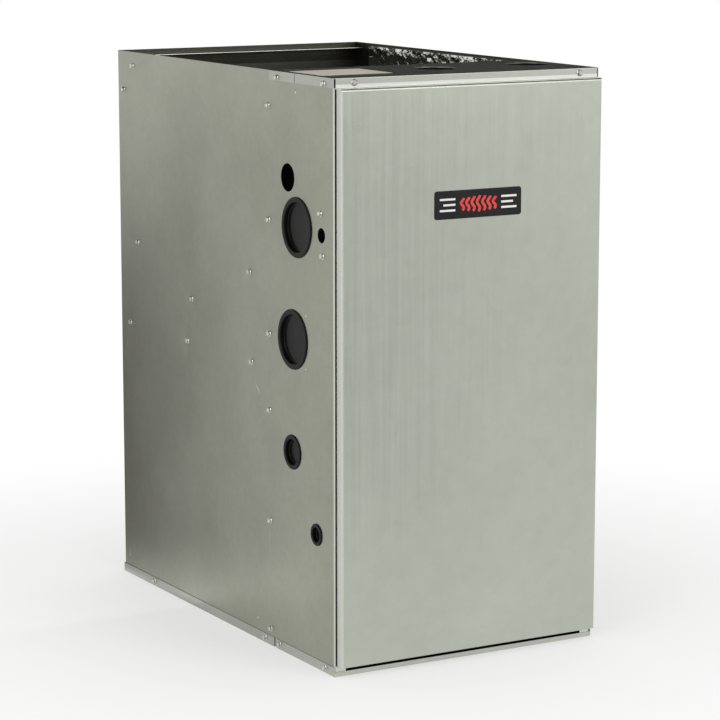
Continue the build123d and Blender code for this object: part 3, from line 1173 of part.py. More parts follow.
def inducer_housing():
    """The round volute on the header, with a neck up to the vent pipe."""
    wall = VOLUTE_WALL
    half = NECK_HALF_WIDTH
    left, right = VENT_X - half, VENT_X + half
    front = VOLUTE_FRONT + wall
    body = rod("y", (INDUCER_X, VOLUTE_FRONT, INDUCER_HEIGHT), VOLUTE_LENGTH, VOLUTE_RADIUS)
    body += block((left, right), (VOLUTE_FRONT, HEADER_FRONT), (INDUCER_HEIGHT, NECK_TOP))
    hollow = rod("y", (INDUCER_X, front, INDUCER_HEIGHT), VOLUTE_LENGTH - 2 * wall, VOLUTE_RADIUS - wall)
    z = (INDUCER_HEIGHT + wall, NECK_TOP - wall)
    hollow += block((left + wall, right - wall), (front, HEADER_FRONT - wall), z)
    vent = rod("z", (VENT_X, VENT_Y, NECK_TOP - wall), wall, half - 2 * wall)
    inlet = rod("y", (INDUCER_X, HEADER_FRONT, INDUCER_HEIGHT), -wall, INDUCER_INLET_RADIUS)
    hole = INDUCER_SHAFT_RADIUS + INDUCER_SHAFT_HOLE_FIT
    shaft = rod("y", (INDUCER_X, VOLUTE_FRONT, INDUCER_HEIGHT), wall, hole)
    return cut(body, [hollow, vent, inlet, shaft])


def inducer_wheel():
    """A disc with straight radial vanes on a hub."""
    axis = (INDUCER_X, INDUCER_WHEEL_Y, INDUCER_HEIGHT)
    wheel = rod("y", axis, INDUCER_DISC_THICKNESS, INDUCER_WHEEL_RADIUS)
    wheel += rod("y", axis, INDUCER_WHEEL_WIDTH, INDUCER_HUB_RADIUS)
    thin = INDUCER_BLADE_THICKNESS / 2
    high = INDUCER_WHEEL_RADIUS - INDUCER_BLADE_INSET
    vane = block((-thin, thin), (0, INDUCER_WHEEL_WIDTH), (high - INDUCER_BLADE_LENGTH, high))
    for i in range(INDUCER_BLADES):
        wheel += Pos(*axis) * Rot(0, 360 / INDUCER_BLADES * i, 0) * vane
    return wheel - rod("y", axis, INDUCER_WHEEL_WIDTH, INDUCER_SHAFT_RADIUS)


def inducer_shaft():
    """The shaft from the inducer's motor to the end of the wheel's hub."""
    start = (INDUCER_X, VOLUTE_FRONT - INDUCER_SHAFT_REACH, INDUCER_HEIGHT)
    return rod("y", start, INDUCER_WHEEL_Y + INDUCER_WHEEL_WIDTH - start[1], INDUCER_SHAFT_RADIUS)


def inducer_motor():
    """The motor on the front of the volute."""
    start = (INDUCER_X, VOLUTE_FRONT, INDUCER_HEIGHT)
    body = rod("y", start, -INDUCER_MOTOR_LENGTH, INDUCER_MOTOR_RADIUS)
    body = fillet(body.edges().filter_by(GeomType.CIRCLE).sort_by(Axis.Y)[0], INDUCER_MOTOR_EDGE)
    return body - rod("y", start, -INDUCER_MOTOR_BORE, INDUCER_SHAFT_RADIUS + SHAFT_FIT)


# ---- small fittings ----

def pressure_switch():
    """A round diaphragm switch on the vestibule panel, with a nipple at its left."""
    x, z = PRESSURE_SWITCH_X, PRESSURE_SWITCH_HEIGHT
    body = rod("y", (x, PANEL_FRONT, z), -PRESSURE_SWITCH_LENGTH, PRESSURE_SWITCH_CAN_RADIUS)
    rear = PRESSURE_SWITCH_Y + PRESSURE_SWITCH_DISC / 2
    body += rod("y", (x, rear, z), -PRESSURE_SWITCH_DISC, PRESSURE_SWITCH_RADIUS)
    start = (x - PRESSURE_SWITCH_RADIUS + NIPPLE_SINK, PRESSURE_SWITCH_Y, z)
    return body + rod("x", start, -NIPPLE_LENGTH - NIPPLE_SINK, NIPPLE_RADIUS)


def condensate_trap():
    """The moulded trap, with an outlet towards the drain plug and a lug to the panel behind it."""
    x, y = (TRAP_LEFT, TRAP_LEFT + TRAP_WIDTH), (TRAP_Y - TRAP_LENGTH / 2, TRAP_Y + TRAP_LENGTH / 2)
    body = block(x, y, (TRAP_BOTTOM, TRAP_TOP))
    body = fillet(body.edges().filter_by(Axis.Z), TRAP_CORNER)
    low = TRAP_BOTTOM + TRAP_LUG_RISE
    lug = (TRAP_X - TRAP_LUG_WIDTH / 2, TRAP_X + TRAP_LUG_WIDTH / 2)
    body += block(lug, (y[1], PANEL_FRONT), (low, low + TRAP_LUG_HEIGHT))
    start = (TRAP_X, TRAP_Y, DRAIN_HEIGHT)
    return body + rod("x", start, -TRAP_WIDTH / 2 - TRAP_SPIGOT_LENGTH, TRAP_SPIGOT_RADIUS)


def drain_hose():
    """The hose from the header's spout to the trap, with two turns."""
    top = COIL_FLOOR - DRAIN_SPOUT
    run = (top - TRAP_TOP) * DRAIN_HOSE_RUN_SHARE
    points = [
        (TRAP_X, SPOUT_Y, top), (TRAP_X, SPOUT_Y, top - run),
        (TRAP_X, TRAP_Y, TRAP_TOP + run), (TRAP_X, TRAP_Y, TRAP_TOP),
    ]
    return bent_tube(points, DRAIN_HOSE_RADIUS, DRAIN_HOSE_RADIUS - DRAIN_HOSE_WALL)


def pressure_hose():
    """The hose from the pressure switch's nipple to the one on the header."""
    y, z = PRESSURE_SWITCH_Y, PRESSURE_SWITCH_HEIGHT
    points = [(HOSE_START_X, y, z), (HOSE_END_X, y, z), (HOSE_END_X, y, HEADER_TOP + NIPPLE_LENGTH)]
    return bent_tube(points, HOSE_RADIUS)


def leads():
    """The leads from the control board, along routes of depths counted from the cabinet's front."""
    return [bent_tube([(x, FRONT + d, z) for x, d, z in route], LEAD_RADIUS) for route in LEAD_ROUTES]


def control_tray():
    """The folded tray under the control board."""
    x, z = (TRAY_LEFT, TRAY_RIGHT), (TRAY_BOTTOM, TRAY_TOP)
    outer = block(x, (PANEL_FRONT - TRAY_HEIGHT, PANEL_FRONT), z)
    return outer - block(
        (x[0] + SHEET, x[1] - SHEET), (FRONT, PANEL_FRONT - SHEET), (z[0] + SHEET, z[1] - SHEET)
    )


def control_board():
    """The circuit board."""
    return block(BOARD_X, (BOARD_BACK - BOARD_THICKNESS, BOARD_BACK), BOARD_Z)


def board_standoffs():
    """Four posts between the tray and the board."""
    inset = 2 * STANDOFF_RADIUS
    columns = (BOARD_X[0] + inset, BOARD_X[1] - inset)
    rows = (BOARD_Z[0] + inset, BOARD_Z[1] - inset)
    y = PANEL_FRONT - SHEET
    return [rod("y", (x, y, z), -STANDOFF_LENGTH, STANDOFF_RADIUS) for x in columns for z in rows]


def board_components():
    """Relays, a terminal strip, plugs and a fuse on the board's front."""
    face = BOARD_BACK - BOARD_THICKNESS
    shapes = [(RELAY[0] + RELAY_PITCH * i, *RELAY[1:]) for i in range(RELAY_COUNT)]
    items = []
    for left, bottom, width, height, thickness in shapes + list(BOARD_PARTS):
        x, z = BOARD_X[0] + left, BOARD_Z[0] + bottom
        items.append(block((x, x + width), (face - thickness, face), (z, z + height)))
    return items


def transformer():
    """Laminations with a winding through them, on the access panel."""
    x, y, z = TRANSFORMER_X, PANEL_FRONT - CORE_LENGTH / 2, TRANSFORMER_HEIGHT
    core = Pos(x, y, z) * Box(CORE_WIDTH, CORE_LENGTH, CORE_HEIGHT)
    winding = Pos(x, y, z) * Box(WINDING_WIDTH, WINDING_LENGTH, WINDING_HEIGHT)
    return core + fillet(winding.edges().filter_by(Axis.X), WINDING_EDGE)


def junction_box():
    """The wiring box on the inside of the left panel."""
    x = (-INSIDE, -INSIDE + JUNCTION_WIDTH)
    outer = block(x, JUNCTION_Y, JUNCTION_Z)
    inner = block(
        (x[0] + SHEET, x[1] - SHEET), (JUNCTION_Y[0] + SHEET, JUNCTION_Y[1] - SHEET),
        (JUNCTION_Z[0] + SHEET, JUNCTION_Z[1] - SHEET),
    )
    start = (x[0], FRONT + WIRE_HOLE[0], WIRE_HOLE[1])
    entry = rod("x", start, SHEET, WIRE_HOLE_RADIUS + JUNCTION_HOLE_MARGIN)
    return cut(outer - inner, left_box_holes() + [entry])


def door_switch():
    """The switch that the closed door holds in, on the right side panel."""
    front = FRONT + DOOR_SWITCH_FRONT
    z = (DOOR_SWITCH_BOTTOM, DOOR_SWITCH_BOTTOM + DOOR_SWITCH_HEIGHT)
    body = block((DOOR_SWITCH_INNER, INSIDE), (front, front + DOOR_SWITCH_LENGTH), z)
    return body - rod("y", (PLUNGER_X, front, PLUNGER_HEIGHT), PLUNGER_WELL, PLUNGER_RADIUS + SHAFT_FIT)


def door_switch_plunger():
    """The plunger, whose tip is just clear of the door's pad."""
    tip = PAD_REAR + LOOSE
    foot = FRONT + DOOR_SWITCH_FRONT + PLUNGER_WELL - LOOSE
    return rod("y", (PLUNGER_X, tip, PLUNGER_HEIGHT), foot - tip, PLUNGER_RADIUS)


def limit_switch():
    """The heat limit switch on the vestibule panel."""
    thick = LIMIT_SWITCH_FLANGE_THICKNESS
    body = rod("y", (LIMIT_SWITCH_X, PANEL_FRONT, LIMIT_SWITCH_HEIGHT), -thick, LIMIT_SWITCH_FLANGE)
    start = (LIMIT_SWITCH_X, PANEL_FRONT - thick, LIMIT_SWITCH_HEIGHT)
    return body + rod("y", start, -LIMIT_SWITCH_CAN_LENGTH, LIMIT_SWITCH_CAN)


def bent_tube(points, radius, bore=0.0):
    """A tube of straight runs joined by tangent arcs as large as the runs allow."""
    radii = []
    for before, at, after in zip(points, points[1:], points[2:]):
        one, two = Vector(*at) - Vector(*before), Vector(*after) - Vector(*at)
        turn = math.radians(one.get_angle(two))
        radii.append(BEND_SHARE * min(one.length, two.length) / math.tan(turn / 2))
    path = FilletPolyline(*points, radius=radii)
    section = Circle(radius)
    if bore > 0:
        section = section - Circle(bore)
    return sweep(Plane(origin=path @ 0, z_dir=path % 0) * section, path=path)


# ---- writing ----

def screws(side):
    """Every screw on one side panel, its cap flange and its base strip."""
    away = (side, 0, 0)
    points = on_side(side, PANEL_SPOTS)
    points += on_side(side, CAP_SPOTS + BASE_SPOTS, SHEET)
    if side < 0:
        points += on_side(side, JUNCTION_SPOTS)
    return [screw(point, away) for point in points]


def write_cabinet():
    left = side_panel()
    save("left_side_panel", cut(left, left_box_holes()))
    save("right_side_panel", mirror(left, about=Plane.YZ))
    save("rear_panel", rear_panel())
    save("vestibule_panel", vestibule_panel())
    save("blower_access_panel", blower_access_panel())
    save("top_cap", cap())
    save("top_front_rail", top_front_rail())
    save("base_front_rail", base_rail(-SHEET, BASE_SPLIT, True, BASE_FRONT_STRIP))
    rear_start = BASE_SPLIT + BASE_SPLIT_GAP
    save("base_rear_rail", base_rail(rear_start, CABINET_DEPTH + SHEET, False, BASE_STRIP))
    save("bottom_panel", bottom_panel())
    save("left_hole_plugs", *[plug(-1, *sizes) for sizes in PLUGS.values()])
    save("right_hole_plugs", *right_hole_plugs())
    save("blank_label", label())
    save("duct_flange", duct_flange())
    save("foil_liner", *foil_liner())
    rear = [screw(point, (0, 1, 0)) for point in REAR_POINTS]
    front = [screw(point, (0, -1, 0)) for point in CAP_FRONT_POINTS]
    save("cabinet_screws", *screws(-1), *screws(1), *rear, *front)


def write_door():
    save("door_skin", door_skin())
    save("door_insulation", door_pad())
    save("door_studs", *door_studs())
    save("badge_plate", badge())
    save("door_clips", *door_clips())
    save("door_gasket", *door_gasket())


def write_blower():
    save("blower_deck", blower_deck())
    save("blower_housing", *blower_housing())
    save("blower_wheel", *blower_wheel())
    save("blower_shaft", blower_shaft())
    save("blower_motor", blower_motor())
    save("motor_mount", motor_mount())


def write_heat_exchanger():
    save("primary_tubes", *[primary_tube(x) for x in BURNER_X])
    save("coupling_box", *coupling_box())
    save("coil_tubes", *coil_tubes())
    save("coil_fins", *coil_fins(), *coil_end_plates())
    save("heat_exchanger_supports", *coil_brackets(), *support_rails(), *cross_bars())


def write_vestibule():
    save("burner_box", burner_box())
    save("burners", *burners())
    save("gas_manifold", gas_manifold())
    save("orifices", *orifices())
    save("gas_valve_body", gas_valve())
    save("gas_valve_knob", gas_valve_knob())
    save("heat_switches", *rollout_switches(), limit_switch())
    save("left_reset_button", reset_button(ROLLOUT_X[0]))
    save("right_reset_button", reset_button(ROLLOUT_X[1]))
    save("igniter_and_flame_sensor", *[flame_rod(x) for x in SENSOR_X])
    intake = pipe_with_socket(INTAKE_X, INTAKE_Y, BURNER_BOX_TOP)
    save("intake_and_vent_pipes", intake, pipe_with_socket(VENT_X, VENT_Y, NECK_TOP))
    save("cold_header", cold_header())
    save("inducer_housing", inducer_housing())
    save("inducer_wheel", inducer_wheel())
    save("inducer_shaft", inducer_shaft())
    save("inducer_motor", inducer_motor())
    save("pressure_switch", pressure_switch())
    save("pressure_hose", pressure_hose())
    save("condensate_trap", condensate_trap())
    save("drain_hose", drain_hose())


def write_controls():
    save("control_tray", control_tray())
    save("control_board", control_board(), *board_standoffs(), *board_components())
    save("transformer", transformer())
    save("junction_box", junction_box())
    save("door_switch", door_switch())
    save("door_switch_plunger", door_switch_plunger())
    save("leads", *leads())


os.makedirs("parts", exist_ok=True)
write_cabinet()
write_door()
write_blower()
write_heat_exchanger()
write_vestibule()
write_controls()
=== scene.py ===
# %% [markdown]
# # A forced air gas furnace
# A tall sheet steel cabinet with one door over its whole front. Behind the door are the burners, the gas
# valve and the controls. Above them the cabinet is open to the supply duct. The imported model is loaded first,
# because every piece is placed from it. Its box is kept as it comes, so that the finished one can be set
# against it.

import json
import math

import bmesh
import bpy
from mathutils import Matrix, Vector, noise


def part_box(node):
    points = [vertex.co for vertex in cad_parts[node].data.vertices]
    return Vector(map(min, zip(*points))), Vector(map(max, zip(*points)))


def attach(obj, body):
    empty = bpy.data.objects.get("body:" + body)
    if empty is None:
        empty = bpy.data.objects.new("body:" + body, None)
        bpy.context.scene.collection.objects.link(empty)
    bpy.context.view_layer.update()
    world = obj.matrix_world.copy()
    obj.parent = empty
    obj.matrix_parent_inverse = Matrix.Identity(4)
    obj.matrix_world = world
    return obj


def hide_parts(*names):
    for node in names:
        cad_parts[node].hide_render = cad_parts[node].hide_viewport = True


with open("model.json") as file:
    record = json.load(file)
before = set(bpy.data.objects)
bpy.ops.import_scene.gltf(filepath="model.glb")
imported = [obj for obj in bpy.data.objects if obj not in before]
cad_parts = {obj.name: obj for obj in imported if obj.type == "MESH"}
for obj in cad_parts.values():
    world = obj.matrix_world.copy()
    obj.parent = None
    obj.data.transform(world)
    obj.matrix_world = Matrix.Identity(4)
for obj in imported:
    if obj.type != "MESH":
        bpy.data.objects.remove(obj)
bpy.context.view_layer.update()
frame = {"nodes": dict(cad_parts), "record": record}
scene = bpy.context.scene
MM = 0.001

# %% [markdown]
# # One helper for nodes
# Materials and Geometry Nodes trees are both node trees. One small function adds a node, with its settings
# and links. Values fill its open sockets in order, or by name, and another node may stand in for a value.
# Sums are what a tree has most of, so a kind in capitals is a Math node set to that operation. That keeps a
# tree as short as a recipe. Colours are written as they look on a screen, and one function turns them to the
# linear values that light needs.

# %% Nodes and colours
FAMILIES = ("ShaderNode", "GeometryNode", "FunctionNode", "Node")


def fill(node, *values, **named):
    """Fills a node's sockets, in order or by name with _ for a space. A list links all that it holds."""
    pairs = [*zip([socket for socket in node.inputs if socket.enabled], values)]
    pairs += [(node.inputs[name.replace("_", " ")], value) for name, value in named.items()]
    for socket, value in pairs:
        for one in value if isinstance(value, list) else [value]:
            if isinstance(one, bpy.types.Node):
                one = next(output for output in one.outputs if output.enabled)
            if isinstance(one, bpy.types.NodeSocket):
                node.id_data.links.new(one, socket)
            else:
                socket.default_value = one


def add(tree, kind, *values, **named):
    """Adds a node. Names in small letters are its own settings, and the rest are for its sockets."""
    if kind.isupper():
        kind, named["operation"] = "Math", kind
    made = tree.nodes.new(next(family + kind for family in FAMILIES if hasattr(bpy.types, family + kind)))
    for name in [name for name in named if name.islower()]:
        setattr(made, name, named.pop(name))
    fill(made, *values, **named)
    return made


def linear(code):
    """A #rrggbb colour in the linear values of a shader, with an alpha of 1."""
    screen = [int(code[i:i + 2], 16) / 255 for i in (1, 3, 5)]
    return (*[v / 12.92 if v <= 0.04045 else ((v + 0.055) / 1.055) ** 2.4 for v in screen], 1.0)


def new_material(name, **fixed):
    """A material with its tree, its shader, and the coordinates of what wears it, which are in metres."""
    material = bpy.data.materials.new(name)
    material.use_nodes = True
    tree = material.node_tree
    shader = tree.nodes["Principled BSDF"]
    fill(shader, **fixed)
    return material, tree, shader, add(tree, "TexCoord").outputs["Object"]


def metres(millimetres):
    """Several millimetres as metres."""
    return tuple(v * MM for v in millimetres)


print("mid grey #808080 is", round(linear("#808080")[0], 3), "in linear light")

# %% [markdown]
# # Patterns at their real size
# A pattern reads Object coordinates, which are metres on every piece here, so a size in millimetres sets its
# scale. Stretching one axis turns spots into the long lines that rolling or brushing leaves in metal. Most of
# what the noise gives lies between 0.3 and 0.7, so that range is spread over the values that are wanted.

# %% Pattern helpers
NOISE = (0.3, 0.7)


def pattern(place, size, stretch=(1, 1, 1), detail=2.0):
    """Noise with patches of about size millimetres, drawn out along each axis by stretch."""
    tree = place.id_data
    scale = tuple(1 / (size * MM * along) for along in stretch)
    return add(tree, "TexNoise", add(tree, "Mapping", place, Scale=scale), 1.0, detail)


def toned(place, tones, patch):
    """Two tones that drift into each other over patches of a size in millimetres."""
    tree = place.id_data
    drift = add(tree, "MapRange", pattern(place, patch, detail=3.0), *NOISE, 0.0, 1.0)
    return add(tree, "Mix", drift, *[linear(tone) for tone in tones], data_type="RGBA")


def from_middle(place, middle, half_sizes, tilt=0.0):
    """How far a place is from the middle of an ellipsoid, 1 at its surface. Sizes are in millimetres."""
    tree = place.id_data
    turn = (math.radians(tilt), 0, 0)
    here = add(
        tree, "Mapping", place, metres(middle), turn, metres(half_sizes), vector_type="TEXTURE"
    )
    return add(tree, "VectorMath", here, operation="LENGTH")


def inside(place, box, share):
    """A share inside a box of {axis: (low, high)} in millimetres, and 0 outside it."""
    tree = place.id_data
    axes = add(tree, "SeparateXYZ", place).outputs
    for axis, (low, high) in box.items():
        middle, half = (low + high) / 2 * MM, (high - low) / 2 * MM
        here = add(tree, "COMPARE", axes[axis], middle, half)
        share = add(tree, "MULTIPLY", here, share)
    return share


print("helpers for noise, two tones, ellipsoids and boxes")

# %% [markdown]
# # Camera
# It stands to the left of the front and a little above the cabinet's top. A long lens keeps the uprights
# nearly parallel, as in a catalogue picture.

# %% Camera
CAMERA_PLACE = (-2.09793, -3.70651, 1.14604)
CAMERA_TURN = math.radians(29.79)
CAMERA_DIP = math.radians(10.05)
CAMERA_LENS = 137.64

camera = bpy.data.objects.new("camera", bpy.data.cameras.new("camera"))
scene.collection.objects.link(camera)
camera.location = CAMERA_PLACE
level = math.cos(CAMERA_DIP)
ahead = Vector((math.sin(CAMERA_TURN) * level, math.cos(CAMERA_TURN) * level, -math.sin(CAMERA_DIP)))
camera.rotation_euler = ahead.to_track_quat("-Z", "Y").to_euler()
camera.data.lens = CAMERA_LENS
camera.data.sensor_width = 36.0
camera.data.clip_end = 200.0
scene.camera = camera
print("lens", CAMERA_LENS, "mm, at", CAMERA_PLACE)

# %% [markdown]
# # Floor
# The floor is pale and matt. A little way out it turns to plain white, so the ground of the picture is white,
# and the cabinet still casts its shadow on the lit part. What the camera sees of it near the cabinet is
# lifted part of the way to white. Mirrored rays see white sooner, so that the metal's foot isn't dull.

# %% Floor
FLOOR_REACH = 60.0
FLOOR_FADE = (0.3, 1.2)
FLOOR_LIFT = 0.45
MIRRORED_FADE = (0.1, 0.42)

floor_material, tree, lit, place = new_material("pale_floor", Base_Color=linear("#fbfbfa"), Roughness=0.9)
away = add(tree, "VectorMath", place, operation="LENGTH")
rays = add(tree, "LightPath").outputs
seen = add(tree, "MAXIMUM", rays["Is Camera Ray"], rays["Is Transmission Ray"])
far = add(tree, "MapRange", away, *FLOOR_FADE, FLOOR_LIFT, 1.0)
seen = add(tree, "MULTIPLY", seen, far)
far = add(tree, "MapRange", away, *MIRRORED_FADE, 0.0, 1.0)
mirrored = add(tree, "MULTIPLY", rays["Is Glossy Ray"], far)
share = add(tree, "MAXIMUM", seen, mirrored)
both = add(tree, "MixShader", share, lit, add(tree, "Emission", Strength=1.0))
fill(tree.nodes["Material Output"], both)

sheet = bpy.data.meshes.new("floor")
corners = [(x * FLOOR_REACH, y * FLOOR_REACH, 0) for x, y in ((-1, -1), (1, -1), (1, 1), (-1, 1))]
sheet.from_pydata(corners, [], [(0, 1, 2, 3)])
sheet.materials.append(floor_material)
floor = bpy.data.objects.new("floor", sheet)
scene.collection.objects.link(floor)
print("floor", 2 * FLOOR_REACH, "m across, white beyond", FLOOR_FADE[1], "m")

# %% [markdown]
# # Light
# The room is an even soft white. Three large soft boxes stand in front, on the left and overhead, at a level
# at which a colour renders about as it is written. A small lamp in the middle of the left one puts the hard
# points of light on screws, foil and moulded edges. White is what the camera and mirrored rays see of the
# room.

# %% Room and soft boxes
WORLD_STRENGTH = 0.62
MIDDLE = (0, 0, 0.45)

world = bpy.data.worlds.new("studio")
world.use_nodes = True
scene.world = world
tree = world.node_tree
fill(tree.nodes["Background"], linear("#ffffff"), WORLD_STRENGTH)
rays = add(tree, "LightPath").outputs
seen = add(tree, "MAXIMUM", rays["Is Camera Ray"], rays["Is Glossy Ray"])
seen = add(tree, "MAXIMUM", seen, rays["Is Transmission Ray"])
plain = add(tree, "Background", linear("#ffffff"), 1.0)
fill(tree.nodes["World Output"], add(tree, "MixShader", seen, tree.nodes["Background"], plain))


def lamp(name, place, size, power):
    """A soft box that shines from a place to the middle of the cabinet."""
    light = bpy.data.lights.new(name, "AREA")
    light.size, light.energy = size, power
    made = bpy.data.objects.new(name, light)
    made.location = place
    made.rotation_euler = (Vector(MIDDLE) - Vector(place)).to_track_quat("-Z", "Y").to_euler()
    scene.collection.objects.link(made)


lamp("front_box", (1.6, -3.6, 2.2), 2.2, 34)
lamp("left_box", (-3.4, -2.0, 2.3), 2.0, 23)
lamp("left_point", (-3.4, -2.0, 2.3), 0.3, 7)
lamp("top_box", (0.4, 0.6, 3.6), 1.8, 10)
scene.view_settings.view_transform = "Standard"
print("world", WORLD_STRENGTH, "with three soft boxes and a small lamp")

# %% [markdown]
# # Cards and felts
# Bare metal in an all white room looks flat. A photographer of sheet metal sets up cards and black felt where
# the metal mirrors them, which gives each face a gradient and each bend an edge. A grey card that fades out
# towards its top and its front stands behind the side panel, and another lies at its foot. A pale one stands
# before the door. Felt hangs high behind the cap and overhead. They are seen in mirrored rays only and throw
# no shadow. The cards give their own light, so that their level is the one that is written.

# %% Cards and felts
CARD_GREY = 0.2
CARD_FADE_UP = (0.30, 0.78)
CARD_FADE_OUT = (-0.34, -0.68)
CARD_FADE_NEAR = (0.15, 0.6)
PALE_LEVELS = (0.64, 0.92)
PALE_FADE = (0.2, 0.62)


def card(name):
    """A card that gives its own light: its material, tree and shader, and the axes of its coordinates."""
    material, tree, shader, place = new_material(name, Base_Color=linear("#000000"), Roughness=1.0)
    fill(shader, Emission_Color=linear("#ffffff"))
    return material, tree, shader, add(tree, "SeparateXYZ", place).outputs


def hang(name, material, corners):
    """Sets up a sheet of card or felt that only mirrored rays see."""
    mesh = bpy.data.meshes.new(name)
    mesh.from_pydata(corners, [], [(0, 1, 2, 3)])
    mesh.materials.append(material)
    made = bpy.data.objects.new(name, mesh)
    made.visible_camera = made.visible_diffuse = made.visible_shadow = made.visible_transmission = False
    scene.collection.objects.link(made)


grey, tree, shader, axes = card("grey_card")
up = add(tree, "MapRange", axes["Z"], *CARD_FADE_UP, 0.0, 1.0)
out = add(tree, "MapRange", axes["X"], *CARD_FADE_OUT, 0.0, 1.0)
near = add(tree, "MapRange", axes["Y"], *CARD_FADE_NEAR, 1.0, 0.0)
level = add(tree, "MAXIMUM", up, out)
level = add(tree, "MAXIMUM", near, level)
fill(shader, Emission_Strength=add(tree, "MapRange", level, 0.0, 1.0, CARD_GREY, 1.0))
pale, tree, shader, axes = card("pale_card")
fill(shader, Emission_Strength=add(tree, "MapRange", axes["X"], *PALE_FADE, *PALE_LEVELS))
felt = new_material("black_felt", Base_Color=linear("#191918"), Roughness=1.0)[0]
hang("side_card", grey, [(-0.85, 0.6, 0), (0.1, 0.6, 0), (0.1, 0.6, 0.8), (-0.85, 0.6, 0.8)])
hang("floor_card", grey, [(-0.8, 0.1, 0.002), (-0.23, 0.1, 0.002), (-0.23, 0.6, 0.002), (-0.8, 0.6, 0.002)])
hang("door_card", pale, [(0.0, -1.2, 0), (1.1, -1.2, 0), (1.1, -1.2, 0.95), (0.0, -1.2, 0.95)])
hang("rear_felt", felt, [(-0.3, 2.6, 0.35), (4.2, 2.6, 0.35), (4.2, 2.6, 3.0), (-0.3, 2.6, 3.0)])
hang("roof_felt", felt, [(-2.2, -1.0, 3.0), (4.2, -1.0, 3.0), (4.2, 4.0, 3.0), (-2.2, 4.0, 3.0)])
print("three cards and two felts")

# %% [markdown]
# # Sheet steel
# The cabinet is mill galvanised sheet. Its zinc is dull and softly cloudy, with flat crystals that hardly
# show and fine lines along the way it was rolled. All of it is bare metal, so most of its look is how softly
# it mirrors the room, and a very low relief under the gloss does more than colour could. The real rolling
# lines are finer than a picture can show, so they are drawn about a millimetre wide.

# %% Galvanised sheet
ROLLING_LINE = 1.0
CRYSTAL_SHARE = 0.16
LINE_SHARE = 0.22
LINE_DEEP = 0.003
SOIL_PATCH, SOIL_RANGE, SOIL_SHARE, SOIL = 34.0, (0.5, 0.75), 0.05, "#6f6c60"
WAVE_PATCH, WAVE_DEEP = 190.0, 0.35
DENT_WIDE, DENT_DEEP = 34.0, 0.7
MARK_REACH, MARK_EDGE = 40.0, (0.6, 1.0)
THROUGH = 1000.0
# Pale scuffs, then a painted highlight for bends and edges, then painted shade for the cabinet's inside.
RUBBED, PAINTED_HIGHLIGHT, PAINTED_SHADE = "#eceee8", "#e4e5df", "#26251f"


def rubbed(place, share):
    """Faint level scuffs, in patches, where a door is handled: at the left of its upper half."""
    tree = place.id_data
    axes = add(tree, "SeparateXYZ", place).outputs
    scuffs = add(tree, "MapRange", pattern(place, 0.9, (16, 1, 1), 1.0), 0.70, 0.76, 0.0, share)
    for limit in (
        add(tree, "MapRange", pattern(place, 60.0, detail=1.0), 0.5, 0.62, 0.0, 1.0),
        add(tree, "MapRange", axes["X"], -0.20, -0.02, 1.0, 0.0),
        add(tree, "MapRange", axes["Z"], 0.5, 0.75, 0.0, 1.0),
    ):
        scuffs = add(tree, "MULTIPLY", scuffs, limit)
    return scuffs


def sheet_steel(name, tones, cloud, cloud_share, gloss, lines, crystal, rubs=0.0, zones=(), marks=(), dents=()):
    """Zinc coated sheet: clouds and faint crystals in its tone, rolling lines in its gloss, a very low relief.

    Rubs is how pale the faint scuffs are. Zones are (box, share, tone) parts of another tone. Marks and dents
    are spots on a side panel: marks have their own tone, and a dent is where a screw pulls the sheet in.
    """
    material, tree, shader, place = new_material(name, Metallic=1.0)
    rolled = pattern(place, ROLLING_LINE, lines, 3.0)
    crystals = add(tree, "TexVoronoi", place, 1 / (crystal * MM)).outputs["Color"]
    crystals = add(tree, "SeparateColor", crystals)
    drift = add(tree, "MapRange", pattern(place, cloud, detail=3.0), *NOISE, 0.0, cloud_share)
    drift = add(tree, "MULTIPLY_ADD", crystals, CRYSTAL_SHARE, drift)
    drift = add(tree, "MULTIPLY_ADD", rolled, LINE_SHARE, drift)
    soil = pattern(place, SOIL_PATCH, detail=5.0)
    layers = [(add(tree, "MapRange", soil, *SOIL_RANGE, 0.0, SOIL_SHARE), SOIL)]
    if rubs:
        layers.append((rubbed(place, rubs), RUBBED))
    layers += [(inside(place, box, share), tone) for box, share, tone in zones]
    for middle, half_sizes, tilt, share, tone in marks:
        away = from_middle(place, (LEFT, *middle), (MARK_REACH, *half_sizes), tilt)
        layers.append((add(tree, "MapRange", away, *MARK_EDGE, share, 0.0), tone))
    colour = add(tree, "Mix", drift, *[linear(tone) for tone in tones], data_type="RGBA")
    for share, tone in layers:
        colour = add(tree, "Mix", share, colour, linear(tone), data_type="RGBA")
    relief = add(tree, "Bump", Distance=WAVE_DEEP * MM, Height=pattern(place, WAVE_PATCH, detail=1.0))
    for middle in dents:
        away = from_middle(place, (LEFT, *middle), (THROUGH, DENT_WIDE, DENT_WIDE))
        sunk = add(tree, "MapRange", away, 0.0, 1.0, 1.0, 0.0)
        sunk = add(tree, "POWER", sunk, 2.0)
        sunk = add(tree, "MULTIPLY", sunk, -1.0)
        relief = add(tree, "Bump", Distance=DENT_DEEP * MM, Height=sunk, Normal=relief)
    grain = add(tree, "ADD", rolled, crystals)
    relief = add(tree, "Bump", Distance=LINE_DEEP * MM, Height=grain, Normal=relief)
    gloss = add(tree, "MapRange", rolled, *NOISE, *gloss)
    fill(shader, Base_Color=colour, Roughness=gloss, Normal=relief)
    return material


print("sheet with rolling lines", ROLLING_LINE, "mm wide and dents", DENT_DEEP, "mm deep")
